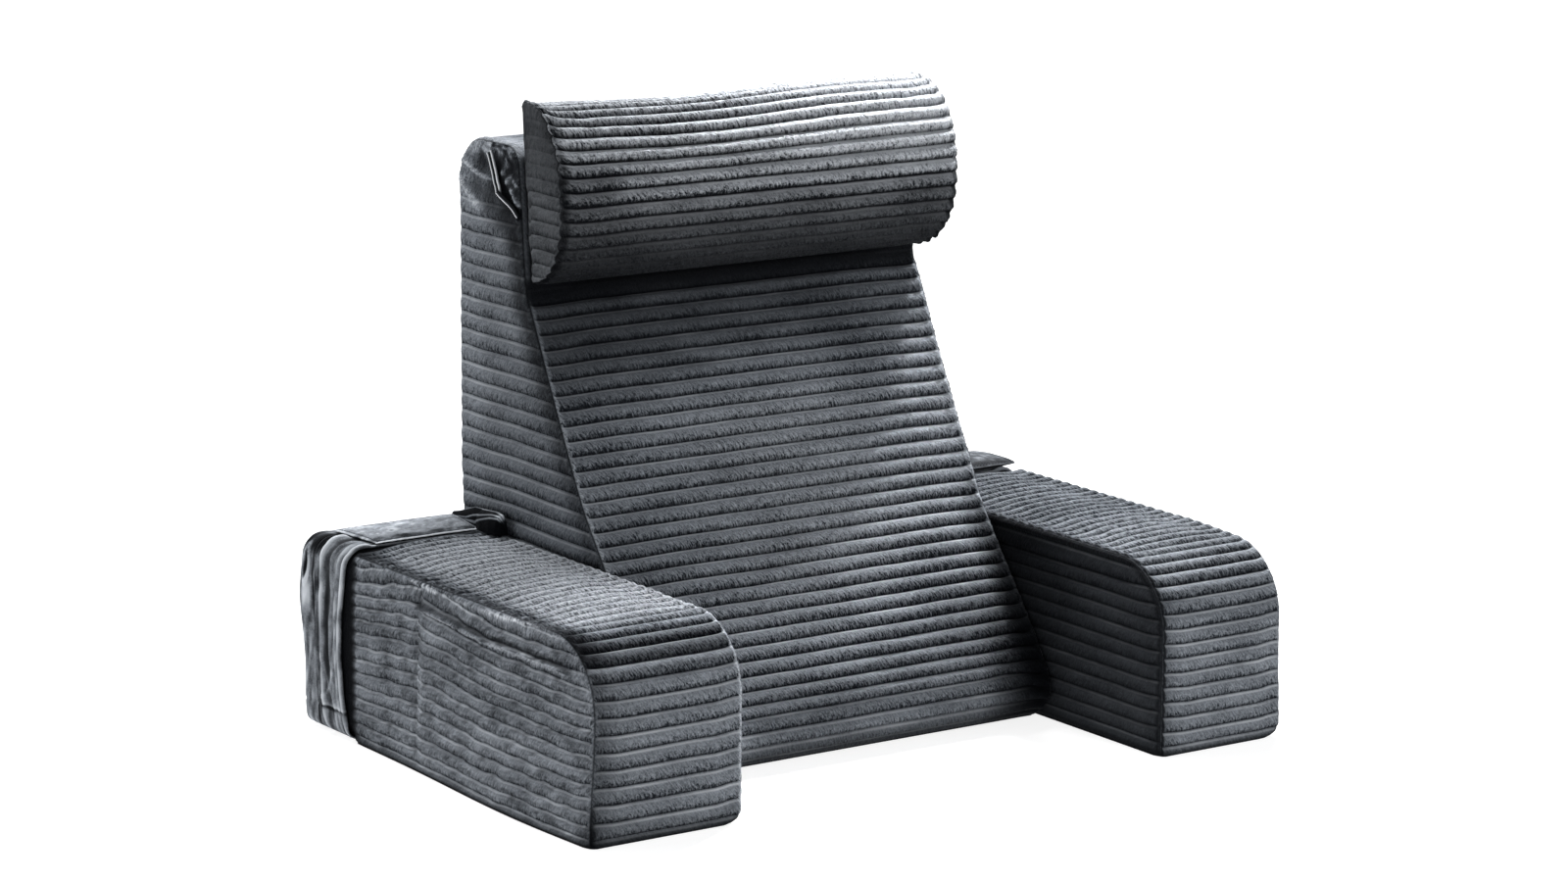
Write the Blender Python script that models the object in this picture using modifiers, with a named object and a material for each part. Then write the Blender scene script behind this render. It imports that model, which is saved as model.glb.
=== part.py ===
"""Reading pillow: a backrest wedge, two box arms and a neck roll in wide-ribbed plush.

Metres, +Z up. The sitter faces -Y, the floor is Z = 0, and the origin is the middle of
the footprint. Every cushion is one filled body whose ribs stand in its own points.
"""
import math

import bmesh
import bpy
import numpy as np
from mathutils import Vector

# ---- cloth ----
RIB_PITCH = 0.0163          # one wide wale, groove to groove
RIB_DEPTH = 0.0030          # how deep the grooves are pressed in
RIB_SHOULDERS = (0.28, 0.72)  # where a wale's flat crest starts and ends, as a share of the pitch
RIB_RUNOUT = 0.012          # a wale rises to full height this far from its seam
GAP = 0.0003                # clearance between pieces that touch
WEB_THICK = 0.0013          # narrow webbing
BAND_THICK = 0.0022         # the wide velvet band

# ---- backrest wedge ----
WEDGE_HALF_WIDTH = 0.2400
WEDGE_BACK = 0.2630
WEDGE_TOP = 0.6110
WEDGE_TOP_BACK_RADIUS = 0.048
WEDGE_TOP_FRONT_RADIUS = 0.022
WEDGE_SIDE_CROWN = 0.0045
WEDGE_FACE_CROWN = 0.0060
WEDGE_FRONT = (             # (height, depth) of the seam down the front edge
    (0.000, -0.093),
    (0.016, -0.116),
    (0.046, -0.122),
    (0.110, -0.081),
    (0.230, 0.010),
    (0.335, 0.070),
    (0.440, 0.123),
    (0.472, 0.1365),        # the neck roll leans on the straight stretch above
    (0.585, 0.1470),
)
CROWN_FADE = 0.060          # the face flattens over this height below the neck roll
WEDGE_COLUMNS = (0.950, 0.450)  # shares of the half width where the face is cut
WEDGE_PUFF = 0.080          # the side reaches full crown this far from its seam
WEDGE_SIDE_CUTS = (         # (depth, height) on the cut, (depth, height) across it
    ((-0.1110 + RIB_RUNOUT, 0.046), (0.80, -0.60)),
    ((0.0700 + RIB_RUNOUT, 0.335), (0.88, -0.47)),
    ((WEDGE_BACK - RIB_RUNOUT, 0.0), (1.0, 0.0)),
    ((0.100, 0.0), (1.0, 0.0)),
)

# ---- arms ----
ARM_LENGTH = 0.5540
ARM_WIDTHS = {"left": 0.1650, "right": 0.1580}
ARM_HEIGHT = 0.2000
ARM_NOSE_RADIUS = 0.054     # the rounded top front corner
ARM_TAIL_RADIUS = 0.014
ARM_INNER_CROWN = 0.0020
ARM_OUTER_CROWN = 0.0040
ARM_TOP_CROWN = 0.0030
ARM_STAGGER = 0.0210        # the arms stand this far behind and before the middle
ARM_FOOT_RADIUS = 0.022     # the bottom edge on the +X side is rounded
ARM_COLUMNS = (0.860, 0.0)
ARM_PUFF = 0.050
ARM_SIDE_CUT = 0.100        # behind the nose
ARM_INNER = WEDGE_HALF_WIDTH + WEDGE_SIDE_CROWN + GAP + ARM_INNER_CROWN
CREASE_DEPTH = 0.0020       # the crease down the left arm's outer side
CREASE_FROM_NOSE = 0.323
CREASE_HALF_WIDTH = 0.007

# ---- arm bands and their flaps ----
BAND_WIDTH = 0.088
BAND_INSETS = {"left": 0.001, "right": 0.013}   # from the arm's back end
BAND_EDGE = 0.0005          # the cloth ends this far inside its seat
BAND_ROWS = (               # (share of the width from the hem back, thickening)
    (0.00, 0.0016),         # the turned front hem
    (0.06, 0.0016),
    (0.14, 0.0),
    (0.36, 0.0016),         # a lengthwise fold
    (0.58, 0.0),
    (0.80, 0.0016),         # a lengthwise fold
    (1.00, 0.0),
)
BAND_FOLD_RISE = 0.030      # the folds reach full height this far above the floor
BAND_CORNER = 0.012
BAND_STEP = 0.004           # the arm swells out again over this length beside the band
FLAP_INNER_INSET = 0.004    # from the arm's inner side
FLAPS = {                   # inset from the arm's outer side, thickness
    "left": {"outer_inset": 0.028, "thick": 0.0055},
    "right": {"outer_inset": 0.002, "thick": 0.0090},
}
FLAP_WIDTH = 0.078
FLAP_FRONT = 0.001          # behind the band's hem
FLAP_CROWN = 0.0022
FLAP_ROUND_FROM = 0.8       # share of the half size where the edge starts to fall
FLAP_CUTS_LONG = (-0.44, -0.3, 0.0, 0.3, 0.44)
FLAP_CUTS_WIDE = (-0.42, 0.0, 0.42)

# ---- neck roll ----
ROLL_LEFT = -0.2350
ROLL_RIGHT = 0.2470
ROLL_HEIGHT = 0.1840
ROLL_DEPTH = 0.0800
ROLL_BOTTOM = 0.4720
ROLL_ROUNDNESS = 2.25       # exponent of the half-round section
ROLL_FACE_CROWN = 0.0050
ROLL_END_CROWN = 0.0050
ROLL_COLUMNS = (0.950, 0.450)
ROLL_PUFF = 0.035
ROLL_END_CUTS = (0.080, 0.120)  # depths where the ends are cut

# ---- neck straps ----
STRAP_WIDTH = 0.0085
STRAP_TOP = (0.206, 0.600)  # (depth, height) where the webbing leaves the cover
STRAP_LOW = (0.191, 0.551)
TAB_START = (0.190, 0.5555)
TAB_END_HEIGHT = 0.5375
TAB_WIDTH = 0.0095
TAB_OFF_STRAP = (0.010, 0.005)  # (forward, down) where the tab leaves the webbing
TAB_ON_SIDE = (0.016, 0.008)    # (behind the wedge's face, above the tab's end)
TAB_AT_EDGE = (0.002, 0.001)
TAB_EDGE_TURN = 0.002       # how far the tab has turned in at the wedge's edge
TAB_ON_ROLL = (-0.006, -0.003)
TAB_BEHIND_ROLL = (0.0028, 0.0015)

FOOTPRINT_SHIFT = (ARM_WIDTHS["left"] - ARM_WIDTHS["right"]) / 2   # centres the whole in X

CHARCOAL = (0.060, 0.066, 0.076)
VELVET = (0.085, 0.092, 0.104)
WEBBING = (0.035, 0.038, 0.044)


def clear_scene():
    for item in list(bpy.data.objects):
        bpy.data.objects.remove(item, do_unlink=True)


def make_material(name, colour, roughness):
    material = bpy.data.materials.new(name)
    material.use_nodes = True
    shader = material.node_tree.nodes["Principled BSDF"]
    shader.inputs["Base Color"].default_value = (*colour, 1.0)
    shader.inputs["Roughness"].default_value = roughness
    shader.inputs["Metallic"].default_value = 0.0
    shader.inputs["Sheen Weight"].default_value = 0.4
    return material


def link_mesh(name, bm, collection, material):
    """Turn a bmesh into a named object; its long faces are split into triangles."""
    bmesh.ops.translate(bm, verts=bm.verts, vec=(FOOTPRINT_SHIFT, 0, 0))
    bmesh.ops.recalc_face_normals(bm, faces=bm.faces)
    bmesh.ops.triangulate(bm, faces=bm.faces, quad_method="BEAUTY", ngon_method="BEAUTY")
    mesh = bpy.data.meshes.new(name)
    bm.to_mesh(mesh)
    bm.free()
    mesh.materials.append(material)
    item = bpy.data.objects.new(name, mesh)
    collection.objects.link(item)
    return item


# ---- outlines, in the plane (depth, height) ----

def arc(centre, radius, start, end, steps):
    """Points of a round corner, angles in degrees."""
    angles = np.radians(np.linspace(start, end, steps + 1))
    return [(centre[0] + radius * math.cos(a), centre[1] + radius * math.sin(a)) for a in angles]


def smooth_through(points, per_span=12):
    """A Catmull-Rom curve through the points."""
    known = np.array(points, dtype=float)
    known = np.vstack([2 * known[0] - known[1], known, 2 * known[-1] - known[-2]])
    curve = []
    for i in range(1, len(known) - 2):
        before, here, after, last = known[i - 1:i + 3]
        for t in np.linspace(0.0, 1.0, per_span, endpoint=False):
            curve.append(0.5 * (2 * here + (after - before) * t
                                + (2 * before - 5 * here + 4 * after - last) * t ** 2
                                + (3 * here - before - 3 * after + last) * t ** 3))
    curve.append(known[-2])
    return [tuple(p) for p in curve]


def rest_depth(height):
    """The straight upper stretch of the wedge's face, where the neck roll leans."""
    (low_height, low_depth), (high_height, high_depth) = WEDGE_FRONT[-2:]
    return low_depth + (high_depth - low_depth) * (height - low_height) / (high_height - low_height)


def rest_lean():
    return math.atan(rest_depth(1.0) - rest_depth(0.0))


def wedge_path():
    """Up the front, over the top and down the back."""
    front = smooth_through([(depth, height) for height, depth in WEDGE_FRONT])
    lean = rest_lean()
    centre_height = WEDGE_TOP - WEDGE_TOP_FRONT_RADIUS
    touch = centre_height + WEDGE_TOP_FRONT_RADIUS * math.sin(lean)
    centre = (rest_depth(touch) + WEDGE_TOP_FRONT_RADIUS * math.cos(lean), centre_height)
    front_corner = arc(centre, WEDGE_TOP_FRONT_RADIUS, 180 - math.degrees(lean), 90, 6)
    back_corner = arc((WEDGE_BACK - WEDGE_TOP_BACK_RADIUS, WEDGE_TOP - WEDGE_TOP_BACK_RADIUS),
                      WEDGE_TOP_BACK_RADIUS, 90, 0, 10)
    return front + front_corner + back_corner + [(WEDGE_BACK, 0.0)]


def arm_path(front):
    """Up the front, round the nose, along the top and down the tail."""
    back = front + ARM_LENGTH
    nose = arc((front + ARM_NOSE_RADIUS, ARM_HEIGHT - ARM_NOSE_RADIUS), ARM_NOSE_RADIUS, 180, 90, 12)
    tail = arc((back - ARM_TAIL_RADIUS, ARM_HEIGHT - ARM_TAIL_RADIUS), ARM_TAIL_RADIUS, 90, 0, 4)
    return [(front, 0.0)] + nose + tail + [(back, 0.0)]


def roll_path():
    """A half-round section, its flat back against the leaning top of the wedge."""
    lean = rest_lean()
    up = np.array([math.sin(lean), math.cos(lean)])
    forward = np.array([-math.cos(lean), math.sin(lean)])
    foot = np.array([rest_depth(ROLL_BOTTOM), ROLL_BOTTOM]) + forward * GAP
    half = ROLL_HEIGHT / 2
    points = []
    for angle in np.linspace(-math.pi / 2, math.pi / 2, 41):
        power = 2 / ROLL_ROUNDNESS
        across = abs(math.cos(angle)) ** power
        along = math.copysign(abs(math.sin(angle)) ** power, angle)
        points.append(tuple(foot + up * half * (1 + along) + forward * ROLL_DEPTH * across))
    return points


class Path:
    """An open outline measured along its length."""

    def __init__(self, points):
        self.points = np.array(points, dtype=float)
        steps = np.linalg.norm(np.diff(self.points, axis=0), axis=1)
        self.stations = np.concatenate([[0.0], np.cumsum(steps)])
        self.length = float(self.stations[-1])

    def at(self, distance):
        return np.array([np.interp(distance, self.stations, self.points[:, k]) for k in (0, 1)])

    def outward(self, distance, reach=0.004):
        """The direction away from the filling, left of the way the outline runs."""
        along = self.at(min(distance + reach, self.length)) - self.at(max(distance - reach, 0.0))
        along = along / np.linalg.norm(along)
        return np.array([-along[1], along[0]])

    def nearest(self, point):
        """The distance from a point to the closed outline, its flat base included."""
        start = self.points
        end = np.roll(self.points, -1, axis=0)
        span = end - start
        share = np.einsum("ij,ij->i", point - start, span) / np.maximum((span ** 2).sum(axis=1), 1e-12)
        foot = start + span * np.clip(share, 0.0, 1.0)[:, None]
        return float(np.linalg.norm(foot - point, axis=1).min())


# ---- ribs ----

def rib_rows(length, pitch):
    """(place, groove) for every row of points across the ribs; groove is 1 in a groove."""
    count = max(1, round(length / pitch))
    step = length / count
    rows = []
    for k in range(count):
        rows.append((k * step, 1.0))
        rows += [((k + share) * step, 0.0) for share in RIB_SHOULDERS]
    rows.append((length, 1.0))
    return rows


def cut(bm, geometry, point, normal, snap=0.0004):
    bmesh.ops.bisect_plane(bm, geom=geometry, dist=snap, plane_co=point, plane_no=normal)


def cut_through(bm, point, normal):
    cut(bm, bm.verts[:] + bm.edges[:] + bm.faces[:], point, normal)


def end_geometry(bm, left, right):
    """Everything that belongs to the two end panels, before they are moved."""
    ends = []
    for face in bm.faces:
        places = [v.co.x for v in face.verts]
        if max(places) - min(places) < 1e-6 and min(abs(places[0] - left), abs(places[0] - right)) < 1e-6:
            ends.append(face)
    edges = {edge for face in ends for edge in face.edges}
    verts = {vert for face in ends for vert in face.verts}
    return ends + list(edges) + list(verts)


def round_corner(point, corner, radius):
    """Pull a point (width, height) in from the sharp bottom corner on the +X side."""
    centre = corner + np.array([-radius, radius])
    away = point - centre
    size = np.linalg.norm(away)
    if away[0] > 0 and away[1] < 0 and size > radius:
        return centre + away * radius / size
    return point


def round_box_clamp(point, low, high, radius):
    """Pull a point (width, height) inside a box with round corners."""
    centre = (low + high) / 2
    core = (high - low) / 2 - radius
    held = np.clip(point - centre, -core, core)
    rest = point - centre - held
    size = np.linalg.norm(rest)
    if size > radius:
        rest = rest * radius / size
    return centre + held + rest


def ease(value):
    share = min(max(value, 0.0), 1.0)
    return share * share * (3 - 2 * share)


def cushion(points, left, right, look):
    """A filled body: an outline drawn out in width, its panels crowned and ribbed.

    look: columns (shares of the half width where the long panel is cut), side_cuts
    ((depth, height), (direction)) cuts across the ends, face_crown, left_crown,
    right_crown, and optionally press (a band's seat) and crease (a depth).
    """
    path = Path(points)
    rows = rib_rows(path.length, RIB_PITCH)
    heights = [p[1] for p in points]
    side_rows = rib_rows(max(heights) - min(heights), RIB_PITCH)
    middle = (left + right) / 2
    half = (right - left) / 2

    bm = bmesh.new()
    outline = [bm.verts.new((left, *path.at(place))) for place, _ in rows]
    drawn = bmesh.ops.extrude_face_region(bm, geom=[bm.faces.new(outline)], use_keep_orig=True)
    moved = [v for v in drawn["geom"] if isinstance(v, bmesh.types.BMVert)]
    bmesh.ops.translate(bm, verts=moved, vec=(right - left, 0, 0))
    for share in look["columns"]:
        for side in (-1, 1) if share else (1,):
            cut_through(bm, (middle + side * share * half, 0, 0), (1, 0, 0))
    press = look.get("press")
    if press:
        for depth in press["cuts"]:
            cut_through(bm, (0, depth, 0), (0, 1, 0))
    for place, _ in side_rows[1:-1]:
        cut(bm, end_geometry(bm, left, right), (0, 0, min(heights) + place), (0, 0, 1))
    for (depth, height), (across, up) in look["side_cuts"]:
        cut(bm, end_geometry(bm, left, right), (0, depth, height), (0, across, up))

    shift_vertices(bm, path, rows, side_rows, min(heights), left, right, look)
    return bm


def shift_vertices(bm, path, rows, side_rows, floor, left, right, look):
    """Crown the panels, press the grooves in and let the band draw the arm in."""
    middle = (left + right) / 2
    half = (right - left) / 2
    row_places = np.array([place for place, _ in rows])
    row_grooves = np.array([groove for _, groove in rows])
    row_points = np.array([path.at(place) for place in row_places])
    side_places = np.array([place for place, _ in side_rows])
    side_grooves = np.array([groove for _, groove in side_rows])
    for vert in bm.verts:
        x, y, z = vert.co
        here = np.array([y, z])
        from_end = half - abs(x - middle)
        inset = path.nearest(here)
        if from_end < 1e-6 and inset > 2e-4:
            side = 1 if x > middle else -1
            crown = look["right_crown"] if side > 0 else look["left_crown"]
            lift = crown * (1 - (1 - min(inset / look["puff"], 1.0)) ** 2)
            groove = np.interp(z - floor, side_places, side_grooves)
            lift -= RIB_DEPTH * groove * ease(inset / RIB_RUNOUT)
            crease = look.get("crease")
            if crease and side < 0:
                near = max(0.0, 1 - abs(y - crease) / CREASE_HALF_WIDTH)
                lift -= CREASE_DEPTH * near * ease(inset / (2 * RIB_RUNOUT))
            vert.co.x = x + side * lift
        elif from_end >= 1e-6:
            row = int(np.argmin(np.linalg.norm(row_points - here, axis=1)))
            place = row_places[row]
            on_row = np.linalg.norm(row_points[row] - here) < 1e-4
            if on_row and 0 < row < len(rows) - 1:
                fade = ease(min(place, path.length - place) / (2 * RIB_RUNOUT))
                lift = look["face_crown"] * (1 - (1 - from_end / half) ** 3)
                lift *= look["crown_at"](here)
                lift -= RIB_DEPTH * row_grooves[row] * ease(from_end / RIB_RUNOUT)
                y, z = here + path.outward(place) * lift * fade
                vert.co.y = y
                vert.co.z = z
    foot = look.get("foot_radius")
    if foot:
        corner = np.array([right + look["right_crown"], floor])
        for vert in bm.verts:
            vert.co.x, vert.co.z = round_corner(np.array([vert.co.x, vert.co.z]), corner, foot)
    press = look.get("press")
    if press:
        for vert in bm.verts:
            if press["front"] - 1e-5 < vert.co.y < press["back"] + 1e-5:
                place = np.array([vert.co.x, vert.co.z])
                vert.co.x, vert.co.z = round_box_clamp(place, press["low"], press["high"], BAND_CORNER)


# ---- the four cushions ----

def all_over(_place):
    return 1.0


def below_the_roll(place):
    """The wedge's face is pressed flat where the neck roll lies on it."""
    depth, height = place
    on_face = depth < WEDGE_FRONT[-1][1] + WEDGE_TOP_FRONT_RADIUS
    return ease((ROLL_BOTTOM - height) / CROWN_FADE) if on_face else 1.0


def build_wedge(collection, material):
    look = {
        "columns": WEDGE_COLUMNS,
        "side_cuts": WEDGE_SIDE_CUTS,
        "face_crown": WEDGE_FACE_CROWN,
        "left_crown": WEDGE_SIDE_CROWN,
        "right_crown": WEDGE_SIDE_CROWN,
        "puff": WEDGE_PUFF,
        "crown_at": below_the_roll,
    }
    bm = cushion(wedge_path(), -WEDGE_HALF_WIDTH, WEDGE_HALF_WIDTH, look)
    return link_mesh("back_wedge", bm, collection, material)


def arm_seat(side, width, arm_back, inset):
    """The place that a band holds on its arm, flush with its neighbours inside and below."""
    inner = side * (ARM_INNER - ARM_INNER_CROWN + BAND_THICK + GAP)
    outer = side * (ARM_INNER + width)
    front = arm_back - inset - BAND_WIDTH
    return {
        "front": front,
        "back": arm_back + BAND_STEP,
        "cuts": (front - BAND_STEP, front),
        "low": np.array([min(inner, outer), BAND_THICK + GAP]),
        "high": np.array([max(inner, outer), ARM_HEIGHT]),
        "outer": outer,
    }


def build_arm(name, side, width, front, seat, collection, material):
    left, right = sorted((side * ARM_INNER, side * (ARM_INNER + width)))
    back = front + ARM_LENGTH
    look = {
        "columns": ARM_COLUMNS,
        "side_cuts": (
            ((front + RIB_RUNOUT, 0.0), (1.0, 0.0)),
            ((front + ARM_SIDE_CUT, 0.0), (1.0, 0.0)),
            ((back - RIB_RUNOUT, 0.0), (1.0, 0.0)),
        ),
        "face_crown": ARM_TOP_CROWN,
        "left_crown": ARM_OUTER_CROWN if side < 0 else ARM_INNER_CROWN,
        "right_crown": ARM_INNER_CROWN if side < 0 else ARM_OUTER_CROWN,
        "puff": ARM_PUFF,
        "crown_at": all_over,
        "foot_radius": ARM_FOOT_RADIUS,
        "press": seat,
    }
    if side < 0:
        crease = front + CREASE_FROM_NOSE
        look["crease"] = crease
        look["side_cuts"] += tuple(
            ((crease + step * CREASE_HALF_WIDTH, 0.0), (1.0, 0.0)) for step in (-1, 0, 1))
    bm = cushion(arm_path(front), left, right, look)
    return link_mesh(name, bm, collection, material)


def build_roll(collection, material):
    look = {
        "columns": ROLL_COLUMNS,
        "side_cuts": tuple(((depth, 0.0), (1.0, 0.0)) for depth in ROLL_END_CUTS),
        "face_crown": ROLL_FACE_CROWN,
        "left_crown": ROLL_END_CROWN,
        "right_crown": ROLL_END_CROWN,
        "puff": ROLL_PUFF,
        "crown_at": all_over,
    }
    bm = cushion(roll_path(), ROLL_LEFT, ROLL_RIGHT, look)
    return link_mesh("neck_roll", bm, collection, material)


# ---- bands, flaps, straps ----

def ring_points(low, high, radius, steps=4):
    """A rectangle with round corners, counter-clockwise, in the plane (width, height)."""
    corners = (
        ((high[0] - radius, low[1] + radius), -90),
        ((high[0] - radius, high[1] - radius), 0),
        ((low[0] + radius, high[1] - radius), 90),
        ((low[0] + radius, low[1] + radius), 180),
    )
    points = []
    for centre, start in corners:
        points += arc(centre, radius, start, start + 90, steps)
    return points


def solid_sheet(name, bm, thickness, collection, material):
    """An open sheet given its thickness on the side that its faces look to."""
    bmesh.ops.translate(bm, verts=bm.verts, vec=(FOOTPRINT_SHIFT, 0, 0))
    mesh = bpy.data.meshes.new(name)
    bm.to_mesh(mesh)
    bm.free()
    mesh.materials.append(material)
    item = bpy.data.objects.new(name, mesh)
    collection.objects.link(item)
    solid = item.modifiers.new("thickness", "SOLIDIFY")
    solid.thickness = thickness
    solid.offset = 1.0
    solid.use_even_offset = True
    return item


def build_band(name, side, seat, collection, material):
    """A closed loop of velvet round the arm, hemmed in front, folded along its length."""
    low = seat["low"] - GAP
    high = seat["high"] + GAP
    ring = ring_points(low, high, BAND_CORNER + GAP)
    outer = seat["outer"] + side * GAP
    bm = bmesh.new()
    loops = []
    for share, fold in BAND_ROWS:
        depth = seat["front"] + BAND_EDGE + share * (BAND_WIDTH - 2 * BAND_EDGE)
        loop = []
        for width, height in ring:
            above = ease((height - low[1]) / BAND_FOLD_RISE)
            outside = 1.0 if abs(width - outer) < 1e-6 or height > high[1] - BAND_CORNER else 0.0
            lift = fold * outside * above
            place = np.array([width, height])
            away = place - np.clip(place, low + BAND_CORNER, high - BAND_CORNER)
            away = away / max(np.linalg.norm(away), 1e-9)
            loop.append(bm.verts.new((width + away[0] * lift, depth, height + away[1] * lift)))
        loops.append(loop)
    for near, far in zip(loops, loops[1:]):
        for k in range(len(ring)):
            after = (k + 1) % len(ring)
            bm.faces.new((near[k], far[k], far[after], near[after]))
    return solid_sheet(name, bm, BAND_THICK, collection, material)


def build_flap(name, side, seat, size, collection, material):
    """The padded flap that closes the band on top of the arm."""
    top = seat["high"][1] + GAP + BAND_THICK + max(fold for _, fold in BAND_ROWS) + GAP
    thick = size["thick"]
    outer = abs(seat["outer"]) - size["outer_inset"]
    inner = ARM_INNER + FLAP_INNER_INSET
    length = outer - inner
    middle = Vector((side * (outer + inner) / 2, seat["front"] + FLAP_WIDTH / 2 + FLAP_FRONT, top))
    bm = bmesh.new()
    bmesh.ops.create_cube(bm, size=1.0)
    bmesh.ops.scale(bm, verts=bm.verts, vec=(length, FLAP_WIDTH, thick))
    bmesh.ops.translate(bm, verts=bm.verts, vec=(0, 0, thick / 2))
    for share in FLAP_CUTS_LONG:
        cut_through(bm, (share * length, 0, 0), (1, 0, 0))
    for share in FLAP_CUTS_WIDE:
        cut_through(bm, (0, share * FLAP_WIDTH, 0), (0, 1, 0))
    for vert in bm.verts:
        across = abs(vert.co.x) / (length / 2)
        along = abs(vert.co.y) / (FLAP_WIDTH / 2)
        if vert.co.z > thick / 2:
            fall = 1 - FLAP_ROUND_FROM
            edge = max(ease((across - FLAP_ROUND_FROM) / fall), ease((along - FLAP_ROUND_FROM) / fall))
            vert.co.z += FLAP_CROWN * (1 - across ** 4) * (1 - along ** 4) - 0.5 * thick * edge
    bmesh.ops.translate(bm, verts=bm.verts, vec=middle)
    return link_mesh(name, bm, collection, material)


def ribbon(name, side, centres, width, thickness, collection, material):
    """A narrow strip through (reach from the middle, depth, height), flat to the wedge's side."""
    bm = bmesh.new()
    pairs = []
    for k, centre in enumerate(centres):
        before = np.array(centres[max(k - 1, 0)])
        after = np.array(centres[min(k + 1, len(centres) - 1)])
        along = (after - before)[1:]
        along = along / np.linalg.norm(along)
        across = np.array([0.0, -along[1], along[0]]) * width / 2
        ends = [np.array(centre) + across, np.array(centre) - across]
        pairs.append([bm.verts.new((side * p[0], p[1], p[2])) for p in ends])
    for near, far in zip(pairs, pairs[1:]):
        bm.faces.new((near[0], near[1], far[1], far[0]))
    for face in bm.faces:
        face.normal_update()
        if face.normal.x * side < 0:
            face.normal_flip()
    return solid_sheet(name, bm, thickness, collection, material)


def build_strap(side, tag, collection, material):
    """The doubled webbing on the wedge's side, and the tab that ties it to the roll."""
    skin = WEDGE_HALF_WIDTH + WEDGE_SIDE_CROWN + GAP
    doubled = 2 * WEB_THICK
    drop = np.array(STRAP_LOW) - np.array(STRAP_TOP)
    centres = [(skin, *(np.array(STRAP_TOP) + drop * share)) for share in (0.0, 0.5, 1.0)]
    ribbon("neck_strap_" + tag, side, centres, STRAP_WIDTH, doubled, collection, material)
    over = skin + doubled + GAP
    roll_end = ROLL_RIGHT if side > 0 else -ROLL_LEFT
    height = TAB_END_HEIGHT
    face = rest_depth(height)
    tab = [
        (over, *TAB_START),
        (over, TAB_START[0] - TAB_OFF_STRAP[0], TAB_START[1] - TAB_OFF_STRAP[1]),
        (skin, face + TAB_ON_SIDE[0], height + TAB_ON_SIDE[1]),
    ]
    if roll_end < skin:     # the roll ends short of the wedge's side, and the tab turns in to reach it
        tab.append((skin - TAB_EDGE_TURN, face + TAB_AT_EDGE[0], height + TAB_AT_EDGE[1]))
        tab.append((roll_end + ROLL_END_CROWN / 2, face + TAB_ON_ROLL[0], height + TAB_ON_ROLL[1]))
    else:
        tab.append((skin, face + TAB_BEHIND_ROLL[0], height + TAB_BEHIND_ROLL[1]))
    ribbon("neck_tab_" + tag, side, tab, TAB_WIDTH, WEB_THICK, collection, material)


def main():
    clear_scene()
    collection = bpy.data.collections.new("reading_pillow")
    bpy.context.scene.collection.children.link(collection)
    plush = {name: make_material(name, CHARCOAL, 0.92)
             for name in ("wedge_plush", "arm_left_plush", "arm_right_plush", "roll_plush")}
    build_wedge(collection, plush["wedge_plush"])
    build_roll(collection, plush["roll_plush"])
    for tag, side in (("left", -1), ("right", 1)):
        front = -ARM_LENGTH / 2 - side * ARM_STAGGER
        width = ARM_WIDTHS[tag]
        seat = arm_seat(side, width, front + ARM_LENGTH, BAND_INSETS[tag])
        build_arm("arm_" + tag, side, width, front, seat, collection, plush["arm_" + tag + "_plush"])
        velvet = make_material("band_velvet_" + tag, VELVET, 0.75)
        build_band("arm_band_" + tag, side, seat, collection, velvet)
        flap = make_material("flap_velvet_" + tag, VELVET, 0.70)
        build_flap("arm_flap_" + tag, side, seat, FLAPS[tag], collection, flap)
        build_strap(side, tag, collection, make_material("webbing_" + tag, WEBBING, 0.6))


main()
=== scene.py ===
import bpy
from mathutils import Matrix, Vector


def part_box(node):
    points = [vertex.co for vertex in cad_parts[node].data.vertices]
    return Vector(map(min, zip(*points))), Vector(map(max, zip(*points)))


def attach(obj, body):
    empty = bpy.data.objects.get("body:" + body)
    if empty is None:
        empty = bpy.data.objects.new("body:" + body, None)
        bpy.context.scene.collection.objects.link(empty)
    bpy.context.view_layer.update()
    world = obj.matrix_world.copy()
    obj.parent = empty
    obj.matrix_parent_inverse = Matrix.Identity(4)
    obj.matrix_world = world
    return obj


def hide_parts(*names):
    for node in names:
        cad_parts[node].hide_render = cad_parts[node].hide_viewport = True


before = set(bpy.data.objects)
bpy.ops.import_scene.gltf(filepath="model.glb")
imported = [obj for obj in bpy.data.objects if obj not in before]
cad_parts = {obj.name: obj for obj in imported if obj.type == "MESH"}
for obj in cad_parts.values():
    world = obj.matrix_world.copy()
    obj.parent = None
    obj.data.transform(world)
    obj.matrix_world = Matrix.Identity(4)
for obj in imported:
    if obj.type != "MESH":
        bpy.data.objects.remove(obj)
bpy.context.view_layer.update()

import math

import bmesh
import bpy
import numpy as np
from mathutils import Matrix, Vector, geometry, noise
from mathutils.bvhtree import BVHTree

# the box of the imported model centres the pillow; depth is world Y, height is world Z
sideShift = 0.0035          # the cushions' own middle lies this far to the right of it

viewpoint = {
    "place": (-2.81094 + sideShift, -4.00182, 1.33190),
    "yaw": 0.60957,
    "pitch": 0.20684,
    "roll": 0.0083246,
    "focalPixels": 4950.95,
    "imageWidth": 1600,
    "sensor": 36.0,
}

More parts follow.
